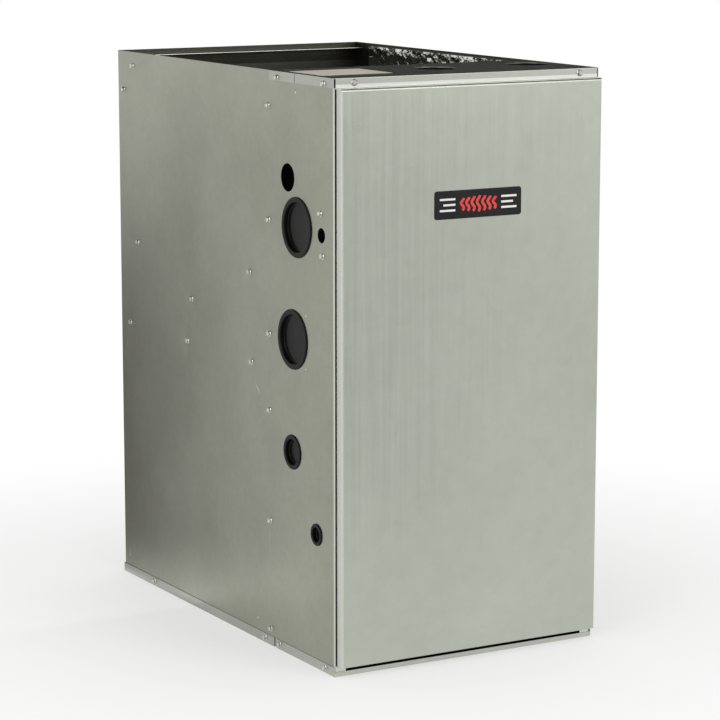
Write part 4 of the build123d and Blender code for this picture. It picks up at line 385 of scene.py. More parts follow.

# %% [markdown]
# # Three sheets
# The cap is a cleaner piece of the same coil as the cabinet, and the door a brighter one whose bands run
# upright. A painted highlight lies along the side panels' front bends, the door's left bend and the cap's front
# flange and lip. Painted shade darkens the walls inside the cabinet above the blower deck. The left panel has a
# few scratches and dents from the shop, and a small dimple drawn in painted shade over a painted highlight.
# Each of these is a place on the object, so it is measured from the pieces themselves and laid over the sheet's
# tone.

# %% Cabinet, cap and door
LEFT, FRONT = [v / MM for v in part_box("left_side_panel")[0].xy]
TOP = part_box("left_side_panel")[1].z / MM
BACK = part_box("rear_panel")[1].y / MM
DOOR_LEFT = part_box("door_skin")[0].x / MM
CAP_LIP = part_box("top_cap")[0].z / MM
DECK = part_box("blower_deck")[0].z / MM
SHEET = 1.0
# The box inside the cabinet, above the blower deck, whose walls are darkened by painted shade.
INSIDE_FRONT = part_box("vestibule_panel")[0].y / MM + SHEET / 2
INSIDE_SIDE = -LEFT - SHEET / 2
SHADED_INSIDE = {"X": (-INSIDE_SIDE, INSIDE_SIDE), "Y": (INSIDE_FRONT, BACK - SHEET / 2), "Z": (DECK, TOP - 0.05)}
INSIDE_SHADE_SHARE = 0.8
# The dull tone is painted shade. With the pale spot 3 mm under it, near the left panel's top, it draws a small
# dimple in painted shade and painted highlight.
PALE, DIMPLE_SHADE = "#e9eae4", "#5d5d54"
MARKS = [
    ((334.8, 388), (0.5, 10), 0, 0.9, PALE), ((-122.7, 386.5), (0.6, 12), -45, 0.9, PALE),
    ((334.8, 38.5), (0.5, 7), 0, 0.9, PALE), ((-244.1, 836.5), (1.7, 1.7), 0, 0.9, PALE),
    ((-244.1, 839.5), (1.6, 1.2), 0, 0.7, DIMPLE_SHADE), ((-118.7, 32.3), (1.6, 1.6), 0, 0.9, PALE),
    ((336.3, 31.4), (1.5, 1.5), 0, 0.9, PALE), ((-158.0, 150), (0.7, 62), 0, 0.1, PALE),
    ((-273.0, 516.4), (1.3, 1.3), 0, 0.9, PALE), ((-272.4, 438.8), (1.3, 1.3), 0, 0.9, PALE),
]
DENTS = [(293, 559), (-97, 559), (98, 492), (325, 424), (114, 423), (-102, 424), (-159, 644), (-158, 475)]

finish = {
    # Mill galvanised sheet, rolled upright: an even grey with a green cast and a soft, long mirror of the room.
    "galvanised_steel": sheet_steel(
        "galvanised_sheet", ("#8f9083", "#a5a699"), 150.0, 0.5, (0.30, 0.40), (1, 1, 90), 9.0,
        # The zones are a painted highlight along the front bend and painted shade on the walls inside the
        # cabinet.
        zones=[({"Y": (FRONT - 1, FRONT + 3.4)}, 0.55, PAINTED_HIGHLIGHT), (SHADED_INSIDE, INSIDE_SHADE_SHARE, PAINTED_SHADE)],
        marks=MARKS, dents=DENTS,
    ),
    # The same sheet from a cleaner coil, rolled across: paler, and a little sharper in what it mirrors.
    "cap_steel": sheet_steel(
        "galvanised_cap_sheet", ("#a3a59c", "#b3b5ad"), 90.0, 0.4, (0.28, 0.38), (60, 1, 1), 9.0,
        # The zones are painted highlight: a faint one over the whole front flange for the light falling on it
        # from the front, and a strong one along the lip at its foot.
        zones=[
            ({"Y": (FRONT - 3, FRONT - 0.2)}, 0.15, PAINTED_HIGHLIGHT),
            ({"Y": (FRONT - 3, FRONT - 0.2), "Z": (CAP_LIP - 1, CAP_LIP + 5)}, 0.8, PAINTED_HIGHLIGHT),
        ],
    ),
    # Skin passed galvanised sheet: the rolls flatten its crystals, so it is pale, smooth and banded upright.
    "door_steel": sheet_steel(
        "skin_passed_galvanised_sheet", ("#afb2a7", "#bfc2b7"), 240.0, 0.4, (0.32, 0.42), (5, 5, 300), 14.0,
        # The zone is a painted highlight along the door's left bend. The rubs are pale scuffs.
        rubs=0.45, zones=[({"X": (DOOR_LEFT - 1, DOOR_LEFT + 3.2)}, 0.35, PAINTED_HIGHLIGHT)],
    ),
}
print(len(finish), "sheets,", len(MARKS), "marks,", len(DENTS), "dents, shade_painted zinc in", SHADED_INSIDE)

# %% [markdown]
# # The other finishes
# Moulded plastic has a fine dull skin. Cast metal is pitted, turned metal is ringed, drawn tube has long
# lines. Rubber and foam are the dullest. Each row gives two tones, the size of their patches, the range of
# roughness, the size and depth of the grain, and the way the grain is drawn out, all sizes in millimetres. A
# real moulded or drawn grain is a few hundredths of a millimetre. It is drawn ten times as coarse here,
# because anything finer than a pixel would only blur.

# %% Plastics, castings, tube and rubber
def surface(name, tones, patch, gloss, grain, deep, stretch=(1, 1, 1), **fixed):
    """A finish of two tones over patches, a gloss that varies with a grain, and a relief of that grain."""
    material, tree, shader, place = new_material(name, **fixed)
    lines = pattern(place, grain, stretch)
    relief = add(tree, "Bump", Distance=deep * MM, Height=lines)
    gloss = add(tree, "MapRange", lines, *NOISE, *gloss)
    fill(shader, Base_Color=toned(place, tones, patch), Roughness=gloss, Normal=relief)
    return material


METAL = {"Metallic": 1.0}
finish.update({
    # Polypropylene from an etched mould: deep black with an even sheen, and hardly a mirror of the room.
    "black_plastic": surface(
        "moulded_polypropylene", ("#0b0b0a", "#131211"), 26, (0.20, 0.30), 0.5, 0.01, Specular_IOR_Level=0.1
    ),
    # Cold headed steel, bright zinc plated: small sharp glints on every facet.
    "screw_zinc": surface("zinc_plated_steel", ("#cfcfc8", "#b4b3aa"), 3, (0.16, 0.28), 0.6, 0.008, **METAL),
    # Uncoated paper, gone cream: flat and matt, with faint fibres.
    "label_paper": surface("aged_paper", ("#bdb8a6", "#c6c1b0"), 40, (0.62, 0.74), 0.3, 0.01),
    # Rolled aluminium foil: a near mirror, so every crease turns black or white.
    "foil": surface("aluminium_foil", ("#dcdcd9", "#c0c0bd"), 12, (0.07, 0.16), 5.0, 0.9, **METAL),
    # Foamed rubber strip: open pores that swallow the light.
    "gasket_foam": surface("foamed_neoprene", ("#131313", "#1d1d1c"), 9, (0.86, 0.96), 0.9, 0.25),
    # Glossy ABS from a polished mould: black, with a clear soft highlight along its edge.
    "badge_plastic": surface(
        "polished_abs", ("#171516", "#1e1b1c"), 30, (0.16, 0.24), 0.5, 0.004, Specular_IOR_Level=0.25
    ),
    # Steel dipped in aluminium: a warm dull silver with a slight orange peel.
    "aluminised_tube": surface(
        "aluminised_steel", ("#8d8b84", "#a19f97"), 22, (0.30, 0.44), 1.2, 0.02, **METAL
    ),
    # Bright rolled aluminium strip: cool and even.
    "fin_aluminium": surface("rolled_aluminium", ("#b9b9b6", "#c9c9c6"), 14, (0.24, 0.36), 0.8, 0.01, **METAL),
    # Drawn stainless steel: long fine lines across the furnace, which smear its highlights.
    "stainless": surface(
        "drawn_stainless_steel", ("#a3a29d", "#b5b4b0"), 30, (0.22, 0.34), 0.4, 0.008, (30, 1, 1), **METAL
    ),
    # Glass filled nylon: charcoal with a slightly rough, fibrous skin.
    "header_plastic": surface("glass_filled_nylon", ("#1a1a1c", "#242426"), 18, (0.42, 0.56), 0.7, 0.04),
    # Black enamel sprayed on a motor's shell: glossy, with a little orange peel.
    "motor_paint": surface("sprayed_enamel", ("#161617", "#202021"), 16, (0.26, 0.38), 1.5, 0.03),
    # Black iron pipe: a thin baked varnish over mill scale.
    "pipe_iron": surface("varnished_iron", ("#222226", "#303034"), 12, (0.42, 0.56), 0.8, 0.04),
    # Turned brass: warm yellow with sharp small highlights.
    "brass": surface("turned_brass", ("#b8923f", "#caa652"), 6, (0.20, 0.32), 0.3, 0.01, **METAL),
    # Die cast aluminium: a grey, frosted skin.
    "valve_casting": surface(
        "die_cast_aluminium", ("#8f8f8e", "#a3a3a1"), 10, (0.44, 0.58), 0.8, 0.05, **METAL
    ),
    # Phenolic, pressed hot: hard, black and fairly glossy.
    "knob_plastic": surface("pressed_phenolic", ("#121212", "#1a1a1a"), 8, (0.24, 0.34), 0.4, 0.01),
    # Red moulded nylon: a warning colour that is easy to find by touch and by eye.
    "button_plastic": surface("red_nylon", ("#a81c18", "#b92620"), 4, (0.24, 0.34), 0.3, 0.01),
    # Extruded black PVC: nearly matt, so that the pipes sink into the dark behind the cap.
    "pipe_plastic": surface(
        "extruded_pvc", ("#070707", "#0d0d0d"), 60, (0.40, 0.52), 2.0, 0.01, Specular_IOR_Level=0.15
    ),
    # Fired alumina: off white and chalky.
    "ceramic": surface("fired_alumina", ("#cfcabb", "#dcd8ca"), 6, (0.66, 0.82), 0.5, 0.04),
    # Grey polyethylene, blow moulded: soft and slightly waxy.
    "trap_plastic": surface("blown_polyethylene", ("#2b2b2d", "#353537"), 20, (0.36, 0.48), 0.6, 0.02),
    # Extruded EPDM rubber: black with a bloom that dulls it.
    "hose_rubber": surface("extruded_epdm", ("#141414", "#1e1e1e"), 10, (0.52, 0.68), 0.6, 0.03),
    # PVC drawn over stranded copper: the strands' twist shows through as a faint rib.
    "lead_insulation": surface("drawn_pvc", ("#1b1b1c", "#2d2d2f"), 3, (0.5, 0.66), 0.9, 0.15),
})
print(len(finish), "finishes")

# %% [markdown]
# # Circuit board
# The board is glass fibre under a green lacquer. Its copper tracks show through as slightly lighter, square
# cornered lines, which come from long thin cells laid two ways. Real tracks are half a millimetre wide, and
# these are drawn about five times as wide so that they show.

# %% Board lacquer
TRACKS = ((26, 2.4), (2.4, 30))
TRACK_EDGE = (0.66, 0.68)
TRACK_DEEP = 0.04

board_material, tree, shader, place = new_material("lacquered_glass_fibre", Roughness=0.3)
copper = 0.0
for wide, tall in TRACKS:
    grid = add(tree, "Mapping", place, Scale=(1 / (wide * MM), 1.0, 1 / (tall * MM)))
    boxes = add(tree, "TexVoronoi", grid, 1.0, Randomness=0.7, distance="CHEBYCHEV")
    picked = add(tree, "SeparateColor", boxes.outputs["Color"])
    laid = add(tree, "MapRange", picked, *TRACK_EDGE, 0.0, 1.0)
    copper = add(tree, "MAXIMUM", laid, copper)
green = add(tree, "Mix", copper, linear("#154829"), linear("#2a6f41"), data_type="RGBA")
fill(shader, Base_Color=green, Normal=add(tree, "Bump", Distance=TRACK_DEEP * MM, Height=copper))
finish["board"] = board_material
for row in frame["record"]["subparts"]:
    for one in frame["nodes"][row["node"]].material_slots:
        one.material = finish[row["material_slot"]]

# %% [markdown]
# # Making pieces
# Each piece that takes a CAD piece's place is made here from that piece's own measure. The helpers find the
# separate solids of a CAD piece, turn a profile round an axis, round off a block, and set a finished mesh on
# its body. Edges sharper than 32 degrees stay crisp, and all others are smoothed.

# %% Piece helpers
SHARP = math.radians(32)


def solids(node):
    """The corners of each separate solid of a CAD piece, ordered from the lowest place up."""
    shape = bmesh.new()
    shape.from_mesh(frame["nodes"][node].data)
    bmesh.ops.remove_doubles(shape, verts=shape.verts, dist=1e-7)
    left, found = dict.fromkeys(shape.verts), []
    while left:
        reach, group = [left.popitem()[0]], []
        while reach:
            corner = reach.pop()
            group.append(corner.co.copy())
            for near in [edge.other_vert(corner) for edge in corner.link_edges]:
                if near in left:
                    del left[near]
                    reach.append(near)
        found.append(group)
    shape.free()
    return sorted(found, key=lambda group: [round(1000 * extent(group)[0][i], 1) for i in (2, 1, 0)])


def extent(corners):
    """The lowest and the highest corner of the box round some points."""
    return tuple(Vector([pick(c[i] for c in corners) for i in range(3)]) for pick in (min, max))


def turned(shape, profile, place, axis, sides=64):
    """Adds a profile of (radius, height) pairs, turned round an axis through a place."""
    to_place = Matrix.Translation(place) @ Vector(axis).to_track_quat("Z", "Y").to_matrix().to_4x4()
    rings = []
    for radius, height in profile:
        count = sides if radius > 0 else 1
        angles = [2 * math.pi * i / sides for i in range(count)]
        points = [Vector((radius * math.cos(a), radius * math.sin(a), height)) for a in angles]
        rings.append([shape.verts.new(to_place @ p) for p in points])
    for below, above in zip(rings, rings[1:]):
        if len(below) == len(above):
            skin(shape, (below, above))
        else:
            ring, (tip,) = (above, below) if len(below) == 1 else (below, above)
            for i, corner in enumerate(ring):
                shape.faces.new((corner, ring[(i + 1) % sides], tip))


def skin(shape, rows, ring=True):
    """Adds the faces between neighbouring rows of corners. Each row is a ring, or is open at its ends."""
    for one, two in zip(rows, rows[1:]):
        for i in range(len(one) if ring else len(one) - 1):
            j = (i + 1) % len(one)
            shape.faces.new((one[i], one[j], two[j], two[i]))


def brick(shape, low, high, soft):
    """Adds a block between two corners, with its edges rounded off by soft."""
    middle, size = (Vector(low) + Vector(high)) / 2, Vector(high) - Vector(low)
    to_place = Matrix.Translation(middle) @ Matrix.Diagonal((*size, 1))
    made = bmesh.ops.create_cube(shape, size=1.0, matrix=to_place)
    edges = dict.fromkeys(edge for corner in made["verts"] for edge in corner.link_edges)
    bmesh.ops.bevel(shape, geom=list(edges), offset=soft, segments=2, affect="EDGES", profile=0.5)


def closed(name, shape, sharp=SHARP):
    """A mesh of the shape, its faces outward and smooth up to an angle."""
    bmesh.ops.recalc_face_normals(shape, faces=shape.faces)
    mesh = bpy.data.meshes.new(name)
    shape.to_mesh(mesh)
    shape.free()
    mesh.shade_smooth()
    mesh.set_sharp_from_angle(angle=sharp)
    return mesh


def piece(name, mesh, body, slot, *nodes, material=None):
    """Sets a mesh on a body, in the finish of a slot or a material, in the place of some CAD nodes."""
    if not mesh.materials:
        mesh.materials.append(material or finish[slot])
    made = bpy.data.objects.new(name, mesh)
    scene.collection.objects.link(made)
    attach(made, body)
    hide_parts(*nodes)
    return made


print("helpers for turned, rounded and closed pieces")

# %% [markdown]
# # Growing what repeats
# Screws, fins, blades, ribs and laminations each repeat one shape many times. A Geometry Nodes tree makes the
# shape once from named sizes and sets copies of it, in a row as on a jig or round a shaft. The result is kept
# as a plain mesh, so that it exports and no modifier stays behind.

# %% Geometry Nodes helpers
def recipe(name, sizes):
    """A Geometry Nodes tree with a named input for each size: the tree, its inputs, and a way to end it."""
    tree = bpy.data.node_groups.new(name, "GeometryNodeTree")
    tree.interface.new_socket("Geometry", in_out="INPUT", socket_type="NodeSocketGeometry")
    for size in sizes:
        kind = "NodeSocketInt" if isinstance(sizes[size], int) else "NodeSocketFloat"
        tree.interface.new_socket(size, in_out="INPUT", socket_type=kind)
    tree.interface.new_socket("Material", in_out="INPUT", socket_type="NodeSocketMaterial")
    tree.interface.new_socket("Geometry", in_out="OUTPUT", socket_type="NodeSocketGeometry")
    given = add(tree, "GroupInput").outputs

    def end(*shapes):
        real = add(tree, "RealizeInstances", add(tree, "JoinGeometry", [*shapes]))
        add(tree, "GroupOutput", add(tree, "SetMaterial", real, Material=given["Material"]))

    return tree, given, end


def grown(name, tree, start, sizes, slot):
    """What the tree makes from a start mesh and its sizes, in the finish of a slot, as a plain mesh."""
    values = {**sizes, "Material": finish[slot]}
    seed = bpy.data.objects.new(name, start)
    scene.collection.objects.link(seed)
    modifier = seed.modifiers.new(tree.name, "NODES")
    modifier.node_group = tree
    for socket in tree.interface.items_tree:
        if socket.in_out == "INPUT" and socket.name in values:
            modifier[socket.identifier] = values[socket.name]
    graph = bpy.context.evaluated_depsgraph_get()
    plain = seed.evaluated_get(graph)
    mesh = bpy.data.meshes.new_from_object(plain, preserve_all_data_layers=True, depsgraph=graph)
    bpy.data.objects.remove(seed)
    mesh.name = name
    mesh.shade_smooth()
    mesh.set_sharp_from_angle(angle=SHARP)
    return mesh


def solid_sheet(tree, mesh, thickness):
    """A closed sheet: the mesh pushed out by its thickness, with its own underside."""
    front = add(tree, "ExtrudeMesh", mesh, Offset_Scale=thickness, Individual=False)
    both = add(tree, "JoinGeometry", [front, add(tree, "FlipFaces", mesh)])
    return add(tree, "MergeByDistance", both)


def row_of(tree, given, shape, first):
    """Copies of a shape, Count of them and a Pitch apart, from a first place towards the back."""
    step = add(tree, "CombineXYZ", Y=given["Pitch"])
    places = add(tree, "MeshLine", given["Count"], first, step)
    return add(tree, "InstanceOnPoints", places, Instance=shape)


def ring_of(tree, given, shape, middle, axis):
    """Count copies of a shape, turned round an axis through a place."""
    places = add(tree, "MeshLine", given["Count"], middle, (0, 0, 0))
    turn = add(tree, "DIVIDE", math.tau, given["Count"])
    turn = add(tree, "MULTIPLY", add(tree, "InputIndex"), turn)
    turn = add(tree, "AxisAngleToRotation", axis, turn)
    return add(tree, "InstanceOnPoints", places, Instance=shape, Rotation=turn)


print("helpers for recipes, rows and rings")

# %% [markdown]
# # Screws
# Hex head sheet metal screws with a washer under the head hold the cabinet together. They are cold headed and
# zinc plated, so each face of the hexagon catches the light by itself. No two stop at the same angle. A screw
# is four cones: washer, hexagon, chamfer and point. One is grown at the place of each CAD screw, along the
# way it is driven.

# %% Hex washer head screws
SCREW = {
    "Washer Radius": 5.0 * MM, "Washer Height": 0.8 * MM, "Head Radius": 4.04 * MM, "Head Height": 2.6 * MM,
    "Chamfer": 0.6 * MM, "Shank Radius": 2.0 * MM, "Shank Length": 8.0 * MM,
}
SCREW_SEED = 4
WASHER_TAPER, CROWN_TAPER, POINT_TAPER = 0.86, 0.80, 0.25

tree, given, end = recipe("hex_washer_screw", SCREW)
washer_top = given["Washer Height"]
prism_height = add(tree, "SUBTRACT", given["Head Height"], given["Chamfer"])
prism_top = add(tree, "ADD", washer_top, prism_height)
solid = []
for sides, size, taper, height, foot in (
    (28, "Washer Radius", WASHER_TAPER, washer_top, 0.0),
    (6, "Head Radius", 1.0, prism_height, washer_top),
    (6, "Head Radius", CROWN_TAPER, given["Chamfer"], prism_top),
    (14, "Shank Radius", POINT_TAPER, given["Shank Length"], 0.0),
):
    narrow = add(tree, "MULTIPLY", given[size], taper)
    cone = add(
        tree, "MeshCone", sides, Radius_Bottom=given[size], Radius_Top=narrow, Depth=height
    )
    lift = add(tree, "CombineXYZ", Z=foot)
    down = (math.pi, 0, 0) if size == "Shank Radius" else (0, 0, 0)
    solid.append(add(tree, "Transform", cone, lift, down))
spin = add(tree, "RandomValue", 0.0, math.pi / 3, Seed=SCREW_SEED, data_type="FLOAT")
spin = add(tree, "AxisAngleToRotation", (0, 0, 1), spin)
outward = add(tree, "InputNamedAttribute", "outward", data_type="FLOAT_VECTOR")
facing = add(tree, "AlignRotationToVector", spin, Vector=outward, axis="Z")
screw = add(tree, "JoinGeometry", solid)
end(add(tree, "InstanceOnPoints", given["Geometry"], Instance=screw, Rotation=facing))

seats, ways = [], []
for corners in solids("cabinet_screws"):
    low, high = extent(corners)
    proud = SCREW["Washer Height"] + SCREW["Head Height"]
    axis = min(range(3), key=lambda i: abs(high[i] - low[i] - SCREW["Shank Length"] - proud))
    seat = (low + high) / 2
    way = Vector([math.copysign(1, seat[i]) if i == axis else 0 for i in range(3)])
    face = high[axis] if way[axis] > 0 else low[axis]
    seat[axis] = face - way[axis] * proud
    seats.append(seat)
    ways.append(way)
start = bpy.data.meshes.new("screw_seats")
start.from_pydata(seats, [], [])
outward = start.attributes.new("outward", "FLOAT_VECTOR", "POINT")
outward.data.foreach_set("vector", [v for way in ways for v in way])
screws = grown("hex_screws", tree, start, SCREW, "screw_zinc")
piece("hex_screws", screws, "cabinet", "screw_zinc", "cabinet_screws")
print(len(seats), "screws,", len(screws.polygons), "faces")

# %% [markdown]
# # Hole plugs
# Pipes can leave the cabinet on either side, so the holes that stay unused are closed by moulded plastic
# plugs. A plug is a dished cap with a flange outside and a collar that snaps in behind the sheet. Its edges
# are all rounded, as they leave the mould. Each one is turned from a profile that fits its own hole.

# %% Moulded plugs
PLUG_FLANGE = 2.1 * MM
PLUG_WALL = 2.2 * MM
PLUG_DISH = 7.0 * MM
PLUG_LENGTH = 11.0 * MM
BEHIND_SHEET = 4.0 * MM


def plug_profile(flange, collar):
    """A plug's section: from the middle of its dish, over the flange, down the collar and back."""
    dish = collar - PLUG_WALL
    floor_height = PLUG_FLANGE - PLUG_DISH
    soft = min(1.6 * MM, dish / 5)
    bend = [(math.sin(a), math.cos(a)) for a in (0, 0.4, 0.8, 1.2, math.pi / 2)]
    bottom = [(dish - soft + soft * s, floor_height + soft * (1 - c)) for s, c in bend]
    mouth = [(dish + 0.5 * MM + soft * (1 - c), PLUG_FLANGE - soft + soft * s) for s, c in bend]
    rim = [(flange - 1.5 * MM + 1.5 * MM * s, PLUG_FLANGE - 1.6 * MM + 1.5 * MM * c) for s, c in bend]
    snap = [(collar, 0.1 * MM), (collar, -1.6 * MM)]
    snap += [(collar + 0.5 * MM, -2.6 * MM), (collar - 0.3 * MM, -4.2 * MM)]
    tail = [(collar - 0.5 * MM, -PLUG_LENGTH), (dish - 0.2 * MM, -PLUG_LENGTH)]
    under = [(flange - 0.3 * MM, 0.1 * MM)]
    inside = [(dish - 0.2 * MM, floor_height - 1.6 * MM), (0, floor_height - 1.6 * MM)]
    return [(0, floor_height), *bottom, *mouth, *rim, *under, *snap, *tail, *inside]


for side, way in (("left", -1), ("right", 1)):
    shape = bmesh.new()
    for corners in solids(side + "_hole_plugs"):
        low, high = extent(corners)
        middle = (low + high) / 2
        outer = low.x if way < 0 else high.x
        flange = (high.z - low.z) / 2
        behind = [c for c in corners if abs(outer - c.x) > BEHIND_SHEET]
        collar = max(math.hypot(c.y - middle.y, c.z - middle.z) for c in behind)
        place = (outer - way * PLUG_FLANGE, middle.y, middle.z)
        turned(shape, plug_profile(flange, collar), place, (way, 0, 0), 72)
        print(side, "plug", round(2 * flange / MM, 1), "mm, collar", round(2 * collar / MM, 1), "mm across")
    piece(side + "_plugs", closed(side + "_plugs", shape), "cabinet", "black_plastic", side + "_hole_plugs")

# %% [markdown]
# # Foil faced pads
# The side walls above the heat exchanger, and the inside of the door, are lined with glass fibre under
# aluminium foil, which keeps the outer sheet cool. The foil is glued by hand and is creased all over. Its
# creases are sharp folds between flatter facets, so they are made from the distance to scattered points, with
# a little soft noise for how it puffs and sags.

# %% Crumpled foil
FOIL_STEP = 3.0 * MM
FOIL_CREASE = 19.0 * MM
FOIL_DEEP = 3.4 * MM
FOIL_SHARP = math.radians(20)
FOIL_SEED = 5
FOLD_SHARE, FOLD_STEEP = 0.55, 1.4
BEND_SHARE, BEND_FINE = 0.4, 1.7
PUFF_SHARE, PUFF_FINE = 0.25, 2.3
SAG_SHARE, SAG_FINE = 0.2, 0.5
RIM_SUNK = (0.7, 0.2)
noise.seed_set(FOIL_SEED)


def creased(u, v, seed):
    """How far the foil stands up at a place, from 0 in the deepest fold to 1."""
    spot = Vector((u / FOIL_CREASE, v / FOIL_CREASE, seed))
    bent = spot + BEND_SHARE * noise.noise_vector(spot * BEND_FINE)
    gaps = noise.voronoi(bent)[0]
    fold = min(1.0, FOLD_STEEP * (gaps[1] - gaps[0]))
    puff, sag = [0.5 + 0.5 * noise.noise(spot * fine) for fine in (PUFF_FINE, SAG_FINE)]
    return FOLD_SHARE * fold + PUFF_SHARE * puff + SAG_SHARE * sag


def foil_pad(shape, low, high, axis, way, step, seed):
    """A pad between two corners whose face along an axis, on the side of way, is creased foil."""
    flat = [i for i in range(3) if i != axis]
    face, wall = (high[axis], low[axis]) if way > 0 else (low[axis], high[axis])
    counts = [round((high[i] - low[i]) / step) for i in flat]
    rows = []
    for i in range(counts[0] + 1):
        row = []
        for j in range(counts[1] + 1):
            place = [0.0, 0.0, 0.0]
            for k, part, count in zip(flat, (i, j), counts):
                place[k] = low[k] + (high[k] - low[k]) * part / count
            edge = min(i, j, counts[0] - i, counts[1] - j)
            rounding = RIM_SUNK[edge] if edge < len(RIM_SUNK) else 0.0
            sunk = max(rounding, 1 - creased(place[flat[0]], place[flat[1]], seed)) * FOIL_DEEP
            place[axis] = face - way * sunk
            row.append(shape.verts.new(place))
        rows.append(row)
    skin(shape, rows, ring=False)
    rim = [row[0] for row in rows] + rows[-1][1:] + [row[-1] for row in rows[-2::-1]] + rows[0][-2:0:-1]
    foot = []
    for corner in rim:
        place = corner.co.copy()
        place[axis] = wall
        foot.append(shape.verts.new(place))
    skin(shape, (rim, foot))
    shape.faces.new(foot)


shape = bmesh.new()
for number, corners in enumerate(solids("foil_liner")):
    low, high = extent(corners)
    foil_pad(shape, low, high, 0, -1 if low.x > 0 else 1, FOIL_STEP, 7.3 * number)
liners = closed("foil_liners", shape, FOIL_SHARP)
piece("foil_liners", liners, "cabinet", "foil", "foil_liner")
shape = bmesh.new()
foil_pad(shape, *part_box("door_insulation"), 1, 1, 2 * FOIL_STEP, 3.1)
quilt = closed("door_quilt", shape, FOIL_SHARP)
piece("door_quilt", quilt, "door", "foil", "door_insulation")
print("liners", len(liners.polygons), "faces, door quilt", len(quilt.polygons), "faces")

# %% [markdown]
# # Duct flange
# The supply duct stands on an angle across the rear panel. Its front edge is hemmed: the sheet is rolled back
# on itself, so that no sharp edge faces the duct. A painted highlight draws a thin bright line along the rolled
# hem's whole length, and painted shade darkens the rest of the angle.

# %% Hemmed angle
HEM_RADIUS = 1.0 * MM
HEM_RETURN = 5.0 * MM
FLANGE_SHEET = 1.0 * MM
# The width in millimetres of the painted highlight along the hem.
HEM_HIGHLIGHT = 1.2

low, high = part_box("duct_flange")
hem = (low.y + HEM_RADIUS, high.z - HEM_RADIUS)
roll = [math.pi / 2 + math.pi * i / 12 for i in range(19)]
section = [(high.y, high.z), (hem[0], high.z)]
section += [(hem[0] + HEM_RADIUS * math.cos(a), hem[1] + HEM_RADIUS * math.sin(a)) for a in roll[1:12]]
section += [(hem[0], high.z - 2 * HEM_RADIUS), (hem[0] + HEM_RETURN, high.z - 2 * HEM_RADIUS)]
section += [(hem[0] + HEM_RETURN, high.z - FLANGE_SHEET), (high.y - FLANGE_SHEET, high.z - FLANGE_SHEET)]
section += [(high.y - FLANGE_SHEET, low.z), (high.y, low.z)]
shape = bmesh.new()
ends = [[shape.verts.new((x, y, z)) for y, z in section] for x in (low.x, high.x)]
skin(shape, ends)
for one in ends:
    shape.faces.new(one)
# Galvanised sheet darkened by painted shade, with a painted highlight along the rolled hem.
hem_front = low.y / MM
shaded_flange = sheet_steel(
    "painted_shade_flange_sheet", ("#6b6b60", "#7b7b70"), 90.0, 0.4, (0.24, 0.32), (60, 1, 1), 9.0, zones=[
        ({"Y": (hem_front - 1, hem_front + HEM_HIGHLIGHT)}, 0.9, PAINTED_HIGHLIGHT),
        ({"X": (LEFT, -LEFT), "Y": (hem_front + HEM_HIGHLIGHT, BACK + 1), "Z": (0, TOP)}, INSIDE_SHADE_SHARE, PAINTED_SHADE),
    ],
)
flange = closed("hemmed_duct_flange", shape)
piece("hemmed_duct_flange", flange, "cabinet", "cap_steel", "duct_flange", material=shaded_flange)
print("duct flange", round(1000 * (high.x - low.x), 1), "mm long")

# %% [markdown]
# # Badge
# A thin moulded plate is glued to the door. It bears no name. Its face has rising waves of warm air in red,
# between pale bars, and the marks stand a little above the black ground, as if printed thick or hot stamped.

# %% Badge plate and its marks
BADGE_EDGE = 0.5 * MM
BADGE_GROUND = 0.35 * MM
BADGE_CORNER = 4.0 * MM
WAVES, WAVE_STEPS, WAVE_TURNS = 7, 22, 1.25
WAVE_PITCH, WAVE_WIDE, WAVE_SWING = 9.0 * MM, 4.2 * MM, 2.3 * MM
WAVE_TALL, WAVE_DROP = 11.5 * MM, 0.9 * MM
BARS = (26 * MM, 20 * MM, 26 * MM)
BAR_START, BAR_PITCH, BAR_WIDE = 39.0 * MM, 8.0 * MM, 3.0 * MM

low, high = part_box("badge_plate")
middle, half = (low + high) / 2, (high - low) / 2


def outline(inset, y):
    """The badge's rounded outline, drawn in by an inset, at one depth."""
    corner = BADGE_CORNER - inset
    points = []
    for quarter, (sx, sz) in enumerate(((1, 1), (-1, 1), (-1, -1), (1, -1))):
        for step in range(7):
            angle = math.pi / 2 * (quarter + step / 6)
            x = middle.x + sx * (half.x - inset - corner) + corner * math.cos(angle)
            z = middle.z + sz * (half.z - inset - corner) + corner * math.sin(angle)
            points.append((x, y, z))
    return points


def ribbon(shape, line, width, back, front):
    """A flat raised ribbon along a line of (x, z) points."""
    sides = []
    for before, here, after in zip([line[0], *line], line, [*line[1:], line[-1]]):
        along = Vector((after[0] - before[0], after[1] - before[1])).normalized() * width / 2
        sides.append(((here[0] - along.y, here[1] + along.x), (here[0] + along.y, here[1] - along.x)))
    rows = []
    for (x, z), (over_x, over_z) in sides:
        section = ((x, back, z), (over_x, back, over_z), (over_x, front, over_z), (x, front, z))
        rows.append([shape.verts.new(corner) for corner in section])
    skin(shape, rows)
    for row in (rows[0], rows[-1]):
        shape.faces.new(row)


shape = bmesh.new()
rings = [
    outline(0, high.y), outline(0, low.y + BADGE_EDGE), outline(0.3 * MM, low.y + 0.12 * MM),
    outline(0.8 * MM, low.y), outline(1.5 * MM, low.y), outline(1.9 * MM, low.y + BADGE_GROUND),
]
rings = [[shape.verts.new(p) for p in ring] for ring in rings]
skin(shape, rings)
shape.faces.new(rings[0])
shape.faces.new(rings[-1])
piece("badge", closed("badge", shape), "door", "badge_plastic", "badge_plate")

